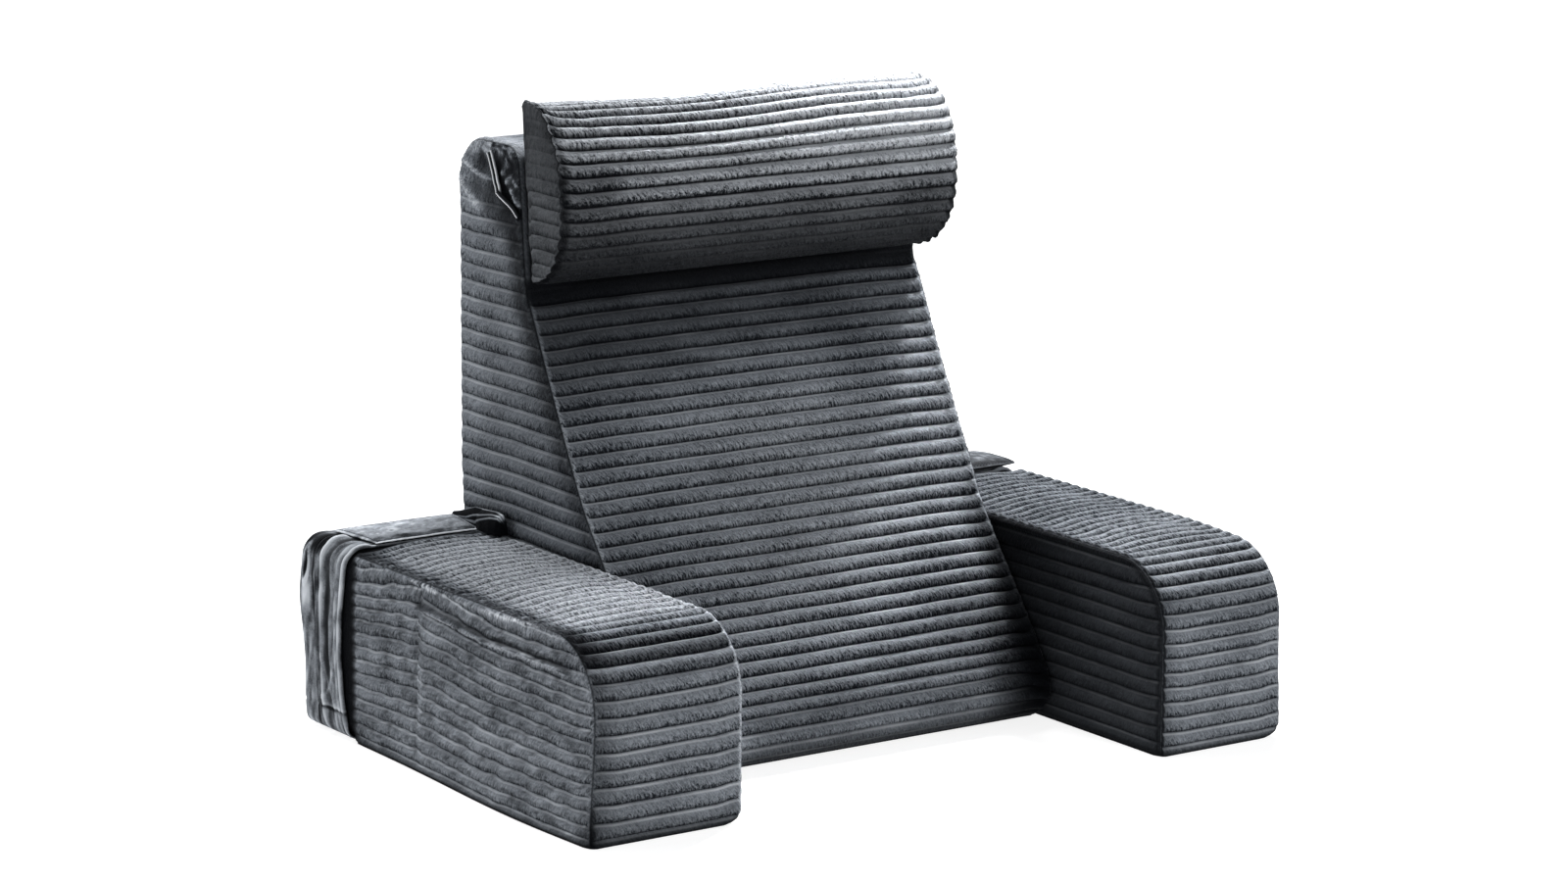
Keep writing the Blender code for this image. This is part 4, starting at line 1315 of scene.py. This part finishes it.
bandFolds = {
    "rows": 104,
    "cornerSteps": 8,
    "flatStep": 0.0030,
    "baseLift": 0.0010,
    # the hem bows back: (height, how far)
    "bow": ((0.0, 0.0), (0.020, 0.003), (0.045, 0.010), (0.085, 0.0150), (0.120, 0.0145), (0.165, 0.007),
            (0.195, 0.001), (0.210, 0.0)),
    # shares of the band's width are counted from its front edge
    "pipe": 0.055,
    "pipeRise": 0.0026,
    "stitchLine": 0.078,
    "folds": (                # (share, rise, width, wander, painted light on the crest)
        (0.150, 0.0026, 0.040, 0.014, 0.55),
        (0.285, 0.0014, 0.024, 0.060, 0.30),
        (0.545, 0.0034, 0.038, 0.030, 0.70),
        (0.700, 0.0014, 0.024, 0.012, 0.12),
    ),
    "valley": (0.410, 0.085, 1.15),
    "cords": ((0.625, 0.012, 1.5), (0.762, 0.013, 1.5)),
    "cordSway": ((0.0, -0.11), (0.04, -0.08), (0.10, -0.03), (0.165, 0.03), (0.20, 0.0)),
    "crossSeam": 0.028,       # height
    "creases": (((0.20, 0.078), (0.34, 0.050), (0.52, 0.038)), ((0.56, 0.082), (0.38, 0.054), (0.24, 0.034))),
    "slit": (0.905, 0.173, 0.040, 0.014),     # share, height and their half sizes
    "rearBulge": 0.0065,
    "thick": 0.0016,
}


def roundedLoop(low, high, foot, radius, cornerSteps, flatStep):
    # a rectangle with round corners in the plane (width, height), with points along its flats too,
    # and the direction outward at each point
    corners = (((high[0] - foot, low[1] + foot), foot, -90), ((high[0] - radius, high[1] - radius), radius, 0),
               ((low[0] + radius, high[1] - radius), radius, 90), ((low[0] + foot, low[1] + foot), foot, 180))
    points, outward = [], []
    for number, (centre, size, start) in enumerate(corners):
        turn = cornerArc(centre, size, start, start + 90, cornerSteps)
        points += turn
        outward += cornerArc((0.0, 0.0), 1.0, start, start + 90, cornerSteps)
        ahead = cornerArc(*corners[(number + 1) % 4], start + 180, 1)[0]
        count = max(1, round(math.dist(turn[-1], ahead) / flatStep))
        points += [tuple(np.array(turn[-1]) + (np.array(ahead) - turn[-1]) * k / count)
                   for k in range(1, count)]
        outward += [outward[-1]] * (count - 1)
    return np.array(points), np.array(outward)


def makeBand(name, side, seat):
    low, high = seat["low"] - clearance, seat["high"] + clearance
    loop, away = roundedLoop(low, high, band["footCorner"] + clearance, band["corner"] + clearance,
                             bandFolds["cornerSteps"], bandFolds["flatStep"])
    count = len(loop)
    outer = seat["outer"] + side * clearance
    onOuter = ease(1 - np.abs(loop[:, 0] - outer) / 0.02)
    onTop = ease(1 - np.abs(loop[:, 1] - high[1]) / 0.02)
    shown = np.maximum(onOuter, onTop) * ease((loop[:, 1] - low[1]) / 0.02)
    height, around = loop[:, 1], loop[:, [0, 1, 1]]
    fromOuter = np.abs(loop[:, 0] - outer)
    bow = np.interp(height, *zip(*bandFolds["bow"])) * onOuter
    sway = np.interp(height, *zip(*bandFolds["cordSway"])) * onOuter
    vertices, folds = [], []
    for row in range(bandFolds["rows"] + 1):
        share = row / bandFolds["rows"]
        depth = seat["front"] + band["edge"] + share * (band["width"] - 2 * band["edge"])
        depth = depth + bow * (1 - share) ** 1.5
        cloth = np.column_stack([loop[:, 0], np.full(count, share * 0.3), loop[:, 1]])
        coarse = ragged(cloth, 32.0, 2.0 + side)
        # fine streaks that lean across the folds
        lean = loop.sum(axis=1) * 0.30 + share * band["width"]
        streak = ragged(np.column_stack([lean * 5.0, loop * 0.9]), 32.0, 5.0)
        lift = np.full(count, bandFolds["baseLift"])
        paintedLightAndTone = 0.08 + 0.26 * coarse + 0.50 * streak
        hem = max(0.0, 1 - (2 * share / bandFolds["pipe"] - 1) ** 2) ** 0.5
        lift += bandFolds["pipeRise"] * hem
        # a painted highlight on the hem
        paintedLightAndTone += 1.2 * hem ** 2 - 0.2 * (share < bandFolds["pipe"])
        paintedLightAndTone -= 1.0 * bell(share - bandFolds["stitchLine"], 0.012)
        lift -= 0.0008 * bell(share - bandFolds["stitchLine"], 0.010)
        # each fold stands up, with painted light on its crest
        for centre, rise, width, wander, paintedCrestLight in bandFolds["folds"]:
            seed = 31.0 * centre + 7.0 * side
            drift = wander * (ragged(around, 13.0, seed) + 0.4 * ragged(around, 38.0, seed))
            strength = 0.85 + 0.6 * ragged(around, 17.0, seed + 9)
            crest = bell(share - centre - drift - 0.3 * sway, width) * strength
            lift += rise * crest
            paintedLightAndTone += paintedCrestLight * crest
        # painted shade in the valley between the folds and along the cords
        centre, width, paintedShade = bandFolds["valley"]
        drift = 0.030 * ragged(around, 14.0, 6.0) + 0.3 * sway
        valley = bell(share - centre - drift, width) * (0.75 + 0.6 * streak)
        paintedLightAndTone -= paintedShade * valley * np.where(onOuter > 0.5, 0.35 + 0.65 * bell(height - 0.120, 0.060), 0.8)
        for centre, width, paintedShade in bandFolds["cords"]:
            paintedLightAndTone -= paintedShade * bell(share - centre - sway, width)
            lift -= 0.0012 * bell(share - centre - sway, width)
        paintedLightAndTone -= 0.40 * bell(share - 0.700 - sway, 0.045)
        paintedLightAndTone += (0.18 + 0.55 * coarse) * ease((share - 0.79) / 0.04)
        # painted shade on the top, behind the flap
        paintedLightAndTone -= 1.2 * ease((share - 0.55) / 0.10) * onTop * ease(1 - fromOuter / 0.045)
        lift += 0.0010 * coarse * (share > 0.78)
        paintedLightAndTone -= 0.9 * bell(height - bandFolds["crossSeam"], 0.0014) * onOuter * (share < 0.62)
        lift -= 0.0011 * bell(height - bandFolds["crossSeam"], 0.0014) * onOuter
        # a painted highlight just above the cross seam
        paintedLightAndTone += 0.5 * bell(height - bandFolds["crossSeam"] - 0.0032, 0.0016) * onOuter * (share < 0.62)
        # painted shade near the floor
        paintedLightAndTone -= 0.40 * ease(1 - height / 0.03) * ease(1 - share / 0.35) * onOuter
        spot = np.column_stack([np.full(count, share * band["width"]), height])
        # the creases stand up, with a painted highlight along them
        for path in bandFolds["creases"]:
            far, _ = distanceToPath(spot, [(s * band["width"], z) for s, z in path])
            lift += 0.0010 * bell(far, 0.0026) * onOuter
            paintedLightAndTone += 0.35 * bell(far, 0.0018) * onOuter
        slitShare, slitHeight, halfShare, halfHeight = bandFolds["slit"]
        ring = np.hypot((share - slitShare) / halfShare, (height - slitHeight) / halfHeight)
        lift += (0.0014 * bell(ring - 1.25, 0.25) - 0.0010 * bell(ring, 0.8)) * onOuter
        # painted shadow in the slit, with a painted highlight round it
        paintedLightAndTone += (0.9 * bell(ring - 1.35, 0.25) - 2.2 * bell(ring, 0.80)) * onOuter
        lift += bandFolds["rearBulge"] * ease((share - 0.72) / 0.2) * bell(height - 0.140, 0.040) * onOuter
        paintedLightAndTone = paintedLightAndTone * (1.0 + 0.35 * (share > 0.1))
        # the flap presses the cloth flat
        lift = np.maximum(lift, 0.0) * shown * (1 - 0.8 * onTop * ease((fromOuter - 0.022) / 0.008))
        folds.append(paintedLightAndTone)
        for (width, z), (outX, outZ), rise, back in zip(loop, away, lift, depth):
            vertices.append((width + outX * rise + sideShift, back, z + outZ * rise))
    faces = []
    for row in range(bandFolds["rows"]):
        for k in range(count):
            after = (k + 1) % count
            faces.append((row * count + k, (row + 1) * count + k,
                          (row + 1) * count + after, row * count + after))
    item = meshObject(name + "Cloth", vertices, faces)
    setPointValues(item, "paintedLightAndTone", np.concatenate(folds))
    solid = item.modifiers.new("thickness", "SOLIDIFY")
    solid.thickness = bandFolds["thick"]
    solid.offset = 1.0
    mesh = bpy.data.meshes.new_from_object(item.evaluated_get(bpy.context.evaluated_depsgraph_get()))
    discard(item)
    mesh.name = name
    mesh.materials.clear()
    mesh.materials.append(velvet)
    finished = linked(name, mesh)
    shadeSmooth(finished)
    loopLength = float(np.linalg.norm(np.roll(loop, -1, axis=0) - loop, axis=1).sum())
    places = np.array(vertices).reshape(bandFolds["rows"] + 1, count, 3)
    line = places[round(bandFolds["stitchLine"] * bandFolds["rows"])].copy()
    line[:, 0] += away[:, 0] * bandFolds["thick"]
    line[:, 2] += away[:, 1] * bandFolds["thick"]
    return finished, loopLength, line


# ---- rows of stitches ----

stitch = {
    "spacing": 0.0042,
    "length": 0.0028,
    "thick": 0.00055,
}


def stitchTree():
    tree, enter = geometryTree("stitchRow", (
        ("Geometry", "Geometry", None), ("Spacing", "Float", 0.004), ("Stitch Length", "Float", 0.003),
        ("Thread", "Float", 0.0005), ("Thread Finish", "Material", None),
    ))
    line = tree.add("GeometryNodeMeshToCurve", None, {"Mesh": enter["Geometry"]})
    line = tree.add("GeometryNodeResampleCurve", {"mode": "LENGTH"},
                    {"Curve": line, "Length": enter["Spacing"]})
    thread = tree.add("GeometryNodeMeshUVSphere", None, {"Segments": 6, "Rings": 4, "Radius": 1.0})
    size = tree.add("ShaderNodeCombineXYZ", None, {"X": enter["Thread"], "Y": enter["Thread"],
                                                   "Z": enter["Stitch Length"] * 0.5})
    thread = tree.add("GeometryNodeTransform", None, {"Geometry": thread, "Scale": size})
    turn = tree.add("FunctionNodeAlignRotationToVector", {"axis": "Z"},
                    {"Vector": tree.add("GeometryNodeInputTangent")})
    row = tree.add("GeometryNodeInstanceOnPoints", None, {"Points": line, "Instance": thread, "Rotation": turn})
    row = tree.add("GeometryNodeRealizeInstances", None, {"Geometry": row})
    row = tree.add("GeometryNodeSetShadeSmooth", None, {"Geometry": row})
    row = tree.add("GeometryNodeSetMaterial", None, {"Geometry": row, "Material": enter["Thread Finish"]})
    return tree.leave(row)


def makeStitches(name, points, closed, finish):
    mesh = bpy.data.meshes.new(name + "Line")
    edges = [(k, k + 1) for k in range(len(points) - 1)] + ([(len(points) - 1, 0)] if closed else [])
    mesh.from_pydata([tuple(p) for p in points], edges, [])
    return applyTree(linked(name + "Line", mesh), stitchRow, {
        "Spacing": stitch["spacing"], "Stitch Length": stitch["length"],
        "Thread": stitch["thick"], "Thread Finish": finish}, name)


stitchRow = stitchTree()


# ---- the padded flaps that close the bands ----

flap = {
    "steps": (44, 28),
    "wrinkle": 0.0007,
    "stitchInset": 0.0045,
    "stitchSink": 0.0007,
    "innerTrim": 0.0048,      # the flap ends this far short of its solid, beside the tuck
    "left": {
        "edge": 0.2044,       # height of its rim
        "full": 0.0040,       # how far it swells above and below the rim
        "under": 0.0010,
        "outerGrow": 0.0020,
        "outerSlant": 0.0075,
        "backSlant": 0.024,
        "rise": 0.0062,       # its inner back corner stands up
        "roundness": 7.0,
        "endRound": 0.0,
        "paintedEdgeLight": 0.9,
        # painted light: this flap's top is lit
        "paintedLightAndTone": 0.36,
        "mottle": 0.50,
    },
    "right": {
        "edge": 0.2080,
        "full": 0.0056,
        "under": 0.0058,
        "outerGrow": 0.0090,
        "outerSlant": 0.0,
        "backSlant": 0.0,
        "rise": 0.0,
        "roundness": 3.0,
        "endRound": 0.007,
        "paintedEdgeLight": 0.10,
        # painted shade: this flap is darker
        "paintedLightAndTone": -0.30,
        "mottle": 0.35,
    },
}


def makeFlap(name, tag):
    low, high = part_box("arm_flap_" + tag)
    make = flap[tag]
    inward = 1 if tag == "left" else -1
    outerX, innerX = (low.x, high.x) if tag == "left" else (high.x, low.x)
    outerX -= inward * make["outerGrow"]
    innerX -= inward * flap["innerTrim"]
    halfX, halfY = abs(innerX - outerX) / 2, (high.y - low.y) / 2

    def spot(u, v, top):
        # u runs from the outer end to the inner one, v from the front to the back
        inner, back = (u + 1) / 2, (v + 1) / 2
        x = outerX + (innerX - outerX) * inner + inward * make["outerSlant"] * (1 - inner) * (1 - back)
        x += inward * make["endRound"] * (1 - inner) ** 6 * v ** 4
        y = low.y + (high.y - low.y) * back - make["backSlant"] * inner * back
        full = max(0.0, (1 - abs(u) ** make["roundness"]) * (1 - abs(v) ** make["roundness"])) ** 0.5
        edge = min((1 - abs(u)) * halfX, (1 - abs(v)) * halfY)
        z = make["edge"] + make["rise"] * inner * back
        if not top:
            # the underside gets painted shade
            return (x, y, z - make["under"] * full), -1.2
        wrinkle = flap["wrinkle"] * noise.noise(Vector((x * 34, y * 60, 3.0)))
        z += make["full"] * full * (0.6 + 0.4 * (1 - v * v)) + wrinkle * full
        z -= flap["stitchSink"] * math.exp(-((edge - flap["stitchInset"]) / 0.0012) ** 2)
        fromFront = (1 + v) * halfY
        # the top is mottled, with painted light towards its outer back corner, a painted highlight along its rim
        # and painted shade behind the front rim
        paintedLightAndTone = make["paintedLightAndTone"] + make["mottle"] * noise.noise(Vector((x * 46, y * 100, 4.0)))
        paintedLightAndTone += 0.55 * noise.noise(Vector((x * 210, y * 260, 9.0))) + 0.30 * back * (1 - inner)
        rim = math.exp(-((fromFront - 0.0015) / 0.0016) ** 2) + 0.45 * math.exp(-((edge - 0.001) / 0.0012) ** 2)
        paintedLightAndTone += make["paintedEdgeLight"] * rim
        paintedLightAndTone -= 0.70 * math.exp(-((fromFront - 0.009) / 0.005) ** 2)
        paintedLightAndTone -= 0.7 * math.exp(-((edge - flap["stitchInset"]) / 0.0010) ** 2)
        return (x, y, z), paintedLightAndTone

    acrossSteps, alongSteps = flap["steps"]
    # the points crowd together towards the rim
    across, along = ([math.sin(math.pi / 2 * (2 * k / steps - 1)) for k in range(steps + 1)]
                     for steps in flap["steps"])
    made = [spot(u, v, top) for top in (1, 0) for u in across for v in along]
    rows = (acrossSteps + 1) * (alongSteps + 1)
    faces = []
    for sheet in range(2):
        for i in range(acrossSteps):
            for j in range(alongSteps):
                k = sheet * rows + i * (alongSteps + 1) + j
                faces.append((k, k + alongSteps + 1, k + alongSteps + 2, k + 1))
    item = meshObject(name, [place for place, paintedLightAndTone in made], faces)
    setPointValues(item, "paintedLightAndTone", [paintedLightAndTone for place, paintedLightAndTone in made])
    turnOutward(item, 1e-5)
    item.data.materials.append(velvet)
    shadeSmooth(item)
    reachU, reachV = 1 - flap["stitchInset"] / halfX, 1 - flap["stitchInset"] / halfY
    line = []
    turns = ((-1, -1), (1, -1), (1, 1), (-1, 1))
    for (au, av), (bu, bv) in zip(turns, turns[1:] + turns[:1]):
        for share in np.linspace(0, 1, 14, endpoint=False):
            (x, y, z), _ = spot(reachU * (au + (bu - au) * share), reachV * (av + (bv - av) * share), 1)
            line.append((x, y, z + 0.0002))
    return item, line


# ---- the tuck where the band passes over to the wedge ----

tuck = {
    "foot": 0.2064,
    "wall": 0.2502,           # its face against the wedge's side
    # along it: (depth from the band's front, height of its crest, how far it stands out)
    "profile": ((-0.047, 0.2090, 0.0010), (-0.045, 0.2200, 0.0080), (-0.040, 0.2255, 0.0120),
                (-0.029, 0.2272, 0.0135), (-0.0115, 0.2260, 0.0130), (-0.002, 0.2252, 0.0110),
                (0.001, 0.2250, 0.0050), (0.0155, 0.2241, 0.0046), (0.030, 0.2195, 0.0044),
                (0.047, 0.2141, 0.0042), (0.060, 0.2112, 0.0036), (0.064, 0.2080, 0.0010)),
    # its raised ridges, with painted light along them, run from the first turn and place to the second
    "ridges": (((0.060, 1.45), (-0.040, 1.50)), ((0.029, 0.32), (-0.040, 1.21)), ((0.011, 0.13), (-0.046, 1.05))),
    "ridge": 0.0012,
    "steps": (96, 44),
}


def makeTuck(name, side, seat):
    alongSteps, roundSteps = tuck["steps"]
    offsets, crests, reaches = (np.array(column) for column in zip(*tuck["profile"]))
    places = np.linspace(offsets[0], offsets[-1], alongSteps + 1)
    turns = np.linspace(0.0, math.pi / 2, roundSteps + 1)
    vertices, paintedLightAndShade = [], []
    for place in places:
        high = np.interp(place, offsets, crests) - tuck["foot"]
        reach = np.interp(place, offsets, reaches)
        depth = seat["front"] + place
        for turn in turns:
            fold = max(bell(turn - np.interp(place, (end[0], start[0]), (end[1], start[1])), 0.10)
                       for start, end in tuck["ridges"]) * ease((place + 0.0465) / 0.006)
            size = 1 + tuck["ridge"] / max(high, 0.004) * fold
            out = reach * math.cos(turn) ** 0.7 * size
            vertices.append((side * (tuck["wall"] + out) + sideShift, depth,
                             tuck["foot"] + high * math.sin(turn) ** 0.8 * size))
            # painted light on the ridges and the front tip; the rest and the foot get painted shade
            light = 1.6 * bell(place + 0.040, 0.006) * bell(turn - 1.30, 0.25)
            paintedLightAndShade.append(float(2.3 * fold - 1.7 + light))
        vertices.append((side * tuck["wall"] + sideShift, depth, tuck["foot"]))
        paintedLightAndShade.append(-2.0)
    item = meshObject(name, vertices, tubeFaces(len(places), roundSteps + 2))
    setPointValues(item, "paintedLightAndTone", paintedLightAndShade)
    turnOutward(item)
    item.data.materials.append(velvet)
    shadeSmooth(item)
    return item


# ---- the webbing near the top of the wedge ----

webbing = {
    "strap": {                # (depth, height, inward) along its middle
        "path": ((0.2010, 0.6010, 0.0), (0.1985, 0.5955, 0.0), (0.1925, 0.5800, 0.0), (0.1875, 0.5655, 0.0),
                 (0.1845, 0.5575, 0.0)),
        "width": 0.0088,
        "thick": 0.0012,
        "bead": 0.0018,
        "beadAt": 0.78,
        "lift": 0.0003,
    },
    "tab": {
        "path": ((0.1850, 0.5605, -0.0032), (0.1790, 0.5570, -0.0030), (0.1600, 0.5465, 0.0),
                 (0.1480, 0.5395, 0.0)),
        "width": 0.0080,
        "thick": 0.0010,
        "bead": 0.0012,
        "beadAt": 0.0,
        "lift": 0.0003,
    },
    "acrossSteps": 12,
    "along": 8,
}


def makeWebbing(name, side, kind, carrier):
    # a ribbon laid on the wedge's side, thicker where its cords run
    make = webbing[kind]
    line = np.array(smoothThrough([p[:2] for p in make["path"]], webbing["along"]))
    inward = np.interp(np.linspace(0, 1, len(line)), np.linspace(0, 1, len(make["path"])),
                       [p[2] for p in make["path"]])
    tangent = np.gradient(line, axis=0)
    tangent /= np.linalg.norm(tangent, axis=1, keepdims=True)
    cross = np.stack([-tangent[:, 1], tangent[:, 0]], axis=1)
    shares = np.linspace(-1, 1, webbing["acrossSteps"] + 1)
    seat = []
    for centre, over in zip(line, cross):
        reach = []
        for share in (-1.0, -0.5, 0.0, 0.5, 1.0):
            spot = centre + over * share * make["width"] / 2
            hit = carrier.ray_cast(Vector((side * 0.6, spot[0], spot[1])), Vector((-side, 0, 0)))
            if hit[0] is not None:
                reach.append(side * (hit[0].x - sideShift))
        seat.append(max(reach) if reach else np.nan)
    seat = np.array(seat)
    known = ~np.isnan(seat)
    seat = np.interp(np.arange(len(seat)), np.nonzero(known)[0], seat[known])
    seat = np.array([seat[max(0, k - 3):k + 4].max() for k in range(len(seat))]) + make["lift"] - inward
    vertices, paintedLightAndShade = [], []
    for centre, over, base in zip(line, cross, seat):
        top = make["thick"] + make["bead"] * bell(np.abs(shares) - make["beadAt"], 0.22)
        top *= 0.25 + 0.75 * np.sqrt(np.clip(1 - shares ** 8, 0, 1))
        for share, rise in zip(shares, top):
            spot = centre + over * share * make["width"] / 2
            vertices.append((side * (base + rise) + sideShift, spot[0], spot[1]))
            # painted highlight on the cords, painted shade between them
            paintedLightAndShade.append(-1.2 + 2.9 * float(bell(abs(share) - make["beadAt"], 0.22)))
        for share in shares[::-1]:
            spot = centre + over * share * make["width"] / 2
            vertices.append((side * base + sideShift, spot[0], spot[1]))
            # painted shade underneath
            paintedLightAndShade.append(-1.0)
    item = meshObject(name, vertices, tubeFaces(len(line), 2 * len(shares)))
    setPointValues(item, "paintedLightAndTone", paintedLightAndShade)
    turnOutward(item)
    item.data.materials.append(webCloth)
    shadeSmooth(item)
    return item


# ---- studio ----

def makeStudio():
    bpy.ops.mesh.primitive_plane_add(size=studio["floorSize"], location=(0, 0, 0))
    floor = bpy.context.object
    floor.name = "studioFloor"
    material = bpy.data.materials.new("studioFloor")
    material.use_nodes = True
    shader = material.node_tree.nodes["Principled BSDF"]
    shader.inputs["Base Color"].default_value = (*studio["floorColor"], 1.0)
    shader.inputs["Roughness"].default_value = 0.9
    shader.inputs["Emission Color"].default_value = (1.0, 1.0, 1.0, 1.0)
    shader.inputs["Emission Strength"].default_value = studio["floorGlow"]
    floor.data.materials.append(material)
    bpy.context.scene.view_settings.view_transform = "Standard"
    world = bpy.context.scene.world or bpy.data.worlds.new("studioWorld")
    bpy.context.scene.world = world
    world.use_nodes = True
    background = world.node_tree.nodes["Background"]
    background.inputs[0].default_value = (*studio["worldColor"], 1.0)
    background.inputs[1].default_value = studio["worldStrength"]
    for name, source, strength, softness in studio["suns"]:
        light = bpy.data.lights.new(name, "SUN")
        light.energy = strength
        light.angle = math.radians(softness)
        linked(name, light).matrix_world = aimAt(source, (0, 0, 0))
    for name, place, aim, size, watts, spread in studio["lights"]:
        light = bpy.data.lights.new(name, "AREA")
        light.size = size
        light.energy = watts
        light.spread = math.radians(spread)
        linked(name, light).matrix_world = Matrix.Translation(place) @ aimAt(place, aim)


def makeCamera():
    yaw, pitch, turn = viewpoint["yaw"], viewpoint["pitch"], viewpoint["roll"]
    ahead = Vector((math.sin(yaw) * math.cos(pitch), math.cos(yaw) * math.cos(pitch), -math.sin(pitch)))
    level = Vector((math.cos(yaw), -math.sin(yaw), 0.0))
    up = level.cross(ahead)
    right = level * math.cos(turn) + up * math.sin(turn)
    upright = -level * math.sin(turn) + up * math.cos(turn)
    lens = bpy.data.cameras.new("photoCamera")
    lens.sensor_width = viewpoint["sensor"]
    lens.sensor_fit = "HORIZONTAL"
    lens.lens = viewpoint["focalPixels"] * viewpoint["sensor"] / viewpoint["imageWidth"]
    lens.clip_end = 60.0
    camera = linked("photoCamera", lens)
    camera.matrix_world = Matrix.Translation(viewpoint["place"]) @ Matrix(
        (right, upright, -ahead)).transposed().to_4x4()
    bpy.context.scene.camera = camera


makeStudio()
makeCamera()
print("studio and camera placed")

wedgeLine = wedgeOutline()
risingFront = wedgeLine.points[:, 1] < wedge["top"] - 0.03
frontEnd = int(np.argmin(risingFront))
wedgeRibs["long"] = {
    "pitches": ((toTheEnd, 0.0163),),
    "firstGroove": float(np.interp(wedge["grooveHeight"], wedgeLine.points[:frontEnd, 1],
                                   wedgeLine.stations[:frontEnd])),
}
backWedge = makeCushion("backWedge", wedgeLine, (-wedge["halfWidth"], wedge["halfWidth"]),
                        wedgeRibs, plush, marks=wedgeMarks, shape=wedgeShape)
dress(backWedge, ("back_wedge",))

neckRoll = makeCushion("neckRoll", rollOutline(), (roll["left"], roll["right"]), rollRibs, shaggyPlush,
                       marks=rollMarks, shape=rollShape)
dress(neckRoll, ("neck_roll",))

seats = {}
for tag, side in (("left", -1), ("right", 1)):
    front = -arm["length"] / 2 - side * arm["stagger"]
    width = arm["widths"][tag]
    seat = armSeat(side, width, front + arm["length"], band["insets"][tag])
    seats[tag] = seat
    ends = sorted((side * arm["inner"], side * (arm["inner"] + width)))
    made = makeCushion("arm" + tag.capitalize(), armOutline(front), ends, {**armRibs, **armPitches[tag]},
                       plush, marks=withGap(leftArmMarks if side < 0 else rightArmMarks, seat),
                       shape=armShaper(side, seat))
    dress(made, ("arm_" + tag,))

wedgeSurface = BVHTree.FromPolygons([v.co for v in backWedge.data.vertices],
                                    [tuple(p.vertices) for p in backWedge.data.polygons])
for tag, side in (("left", -1), ("right", 1)):
    end = tag.capitalize()
    cloth, loopLength, hemLine = makeBand("armBand" + end, side, seats[tag])
    dress(cloth, ("arm_band_" + tag,))
    hemStitches = makeStitches("hemStitches" + end, hemLine, True, threadFinish)
    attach(hemStitches, "root")
    "arm" + end
    padding, flapLine = makeFlap("armFlap" + end, tag)
    dress(padding, ("arm_flap_" + tag,))
    flapStitches = makeStitches("flapStitches" + end, flapLine, True, threadFinish)
    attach(flapStitches, "root")
    tucked = makeTuck("bandTuck" + end, side, seats[tag])
    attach(tucked, "root")
    for kind in ("strap", "tab"):
        ribbon = makeWebbing("neck" + kind.capitalize() + end, side, kind, wedgeSurface)
        dress(ribbon, ("neck_" + kind + "_" + tag,))
print("bands, flaps, stitches and webbing made")
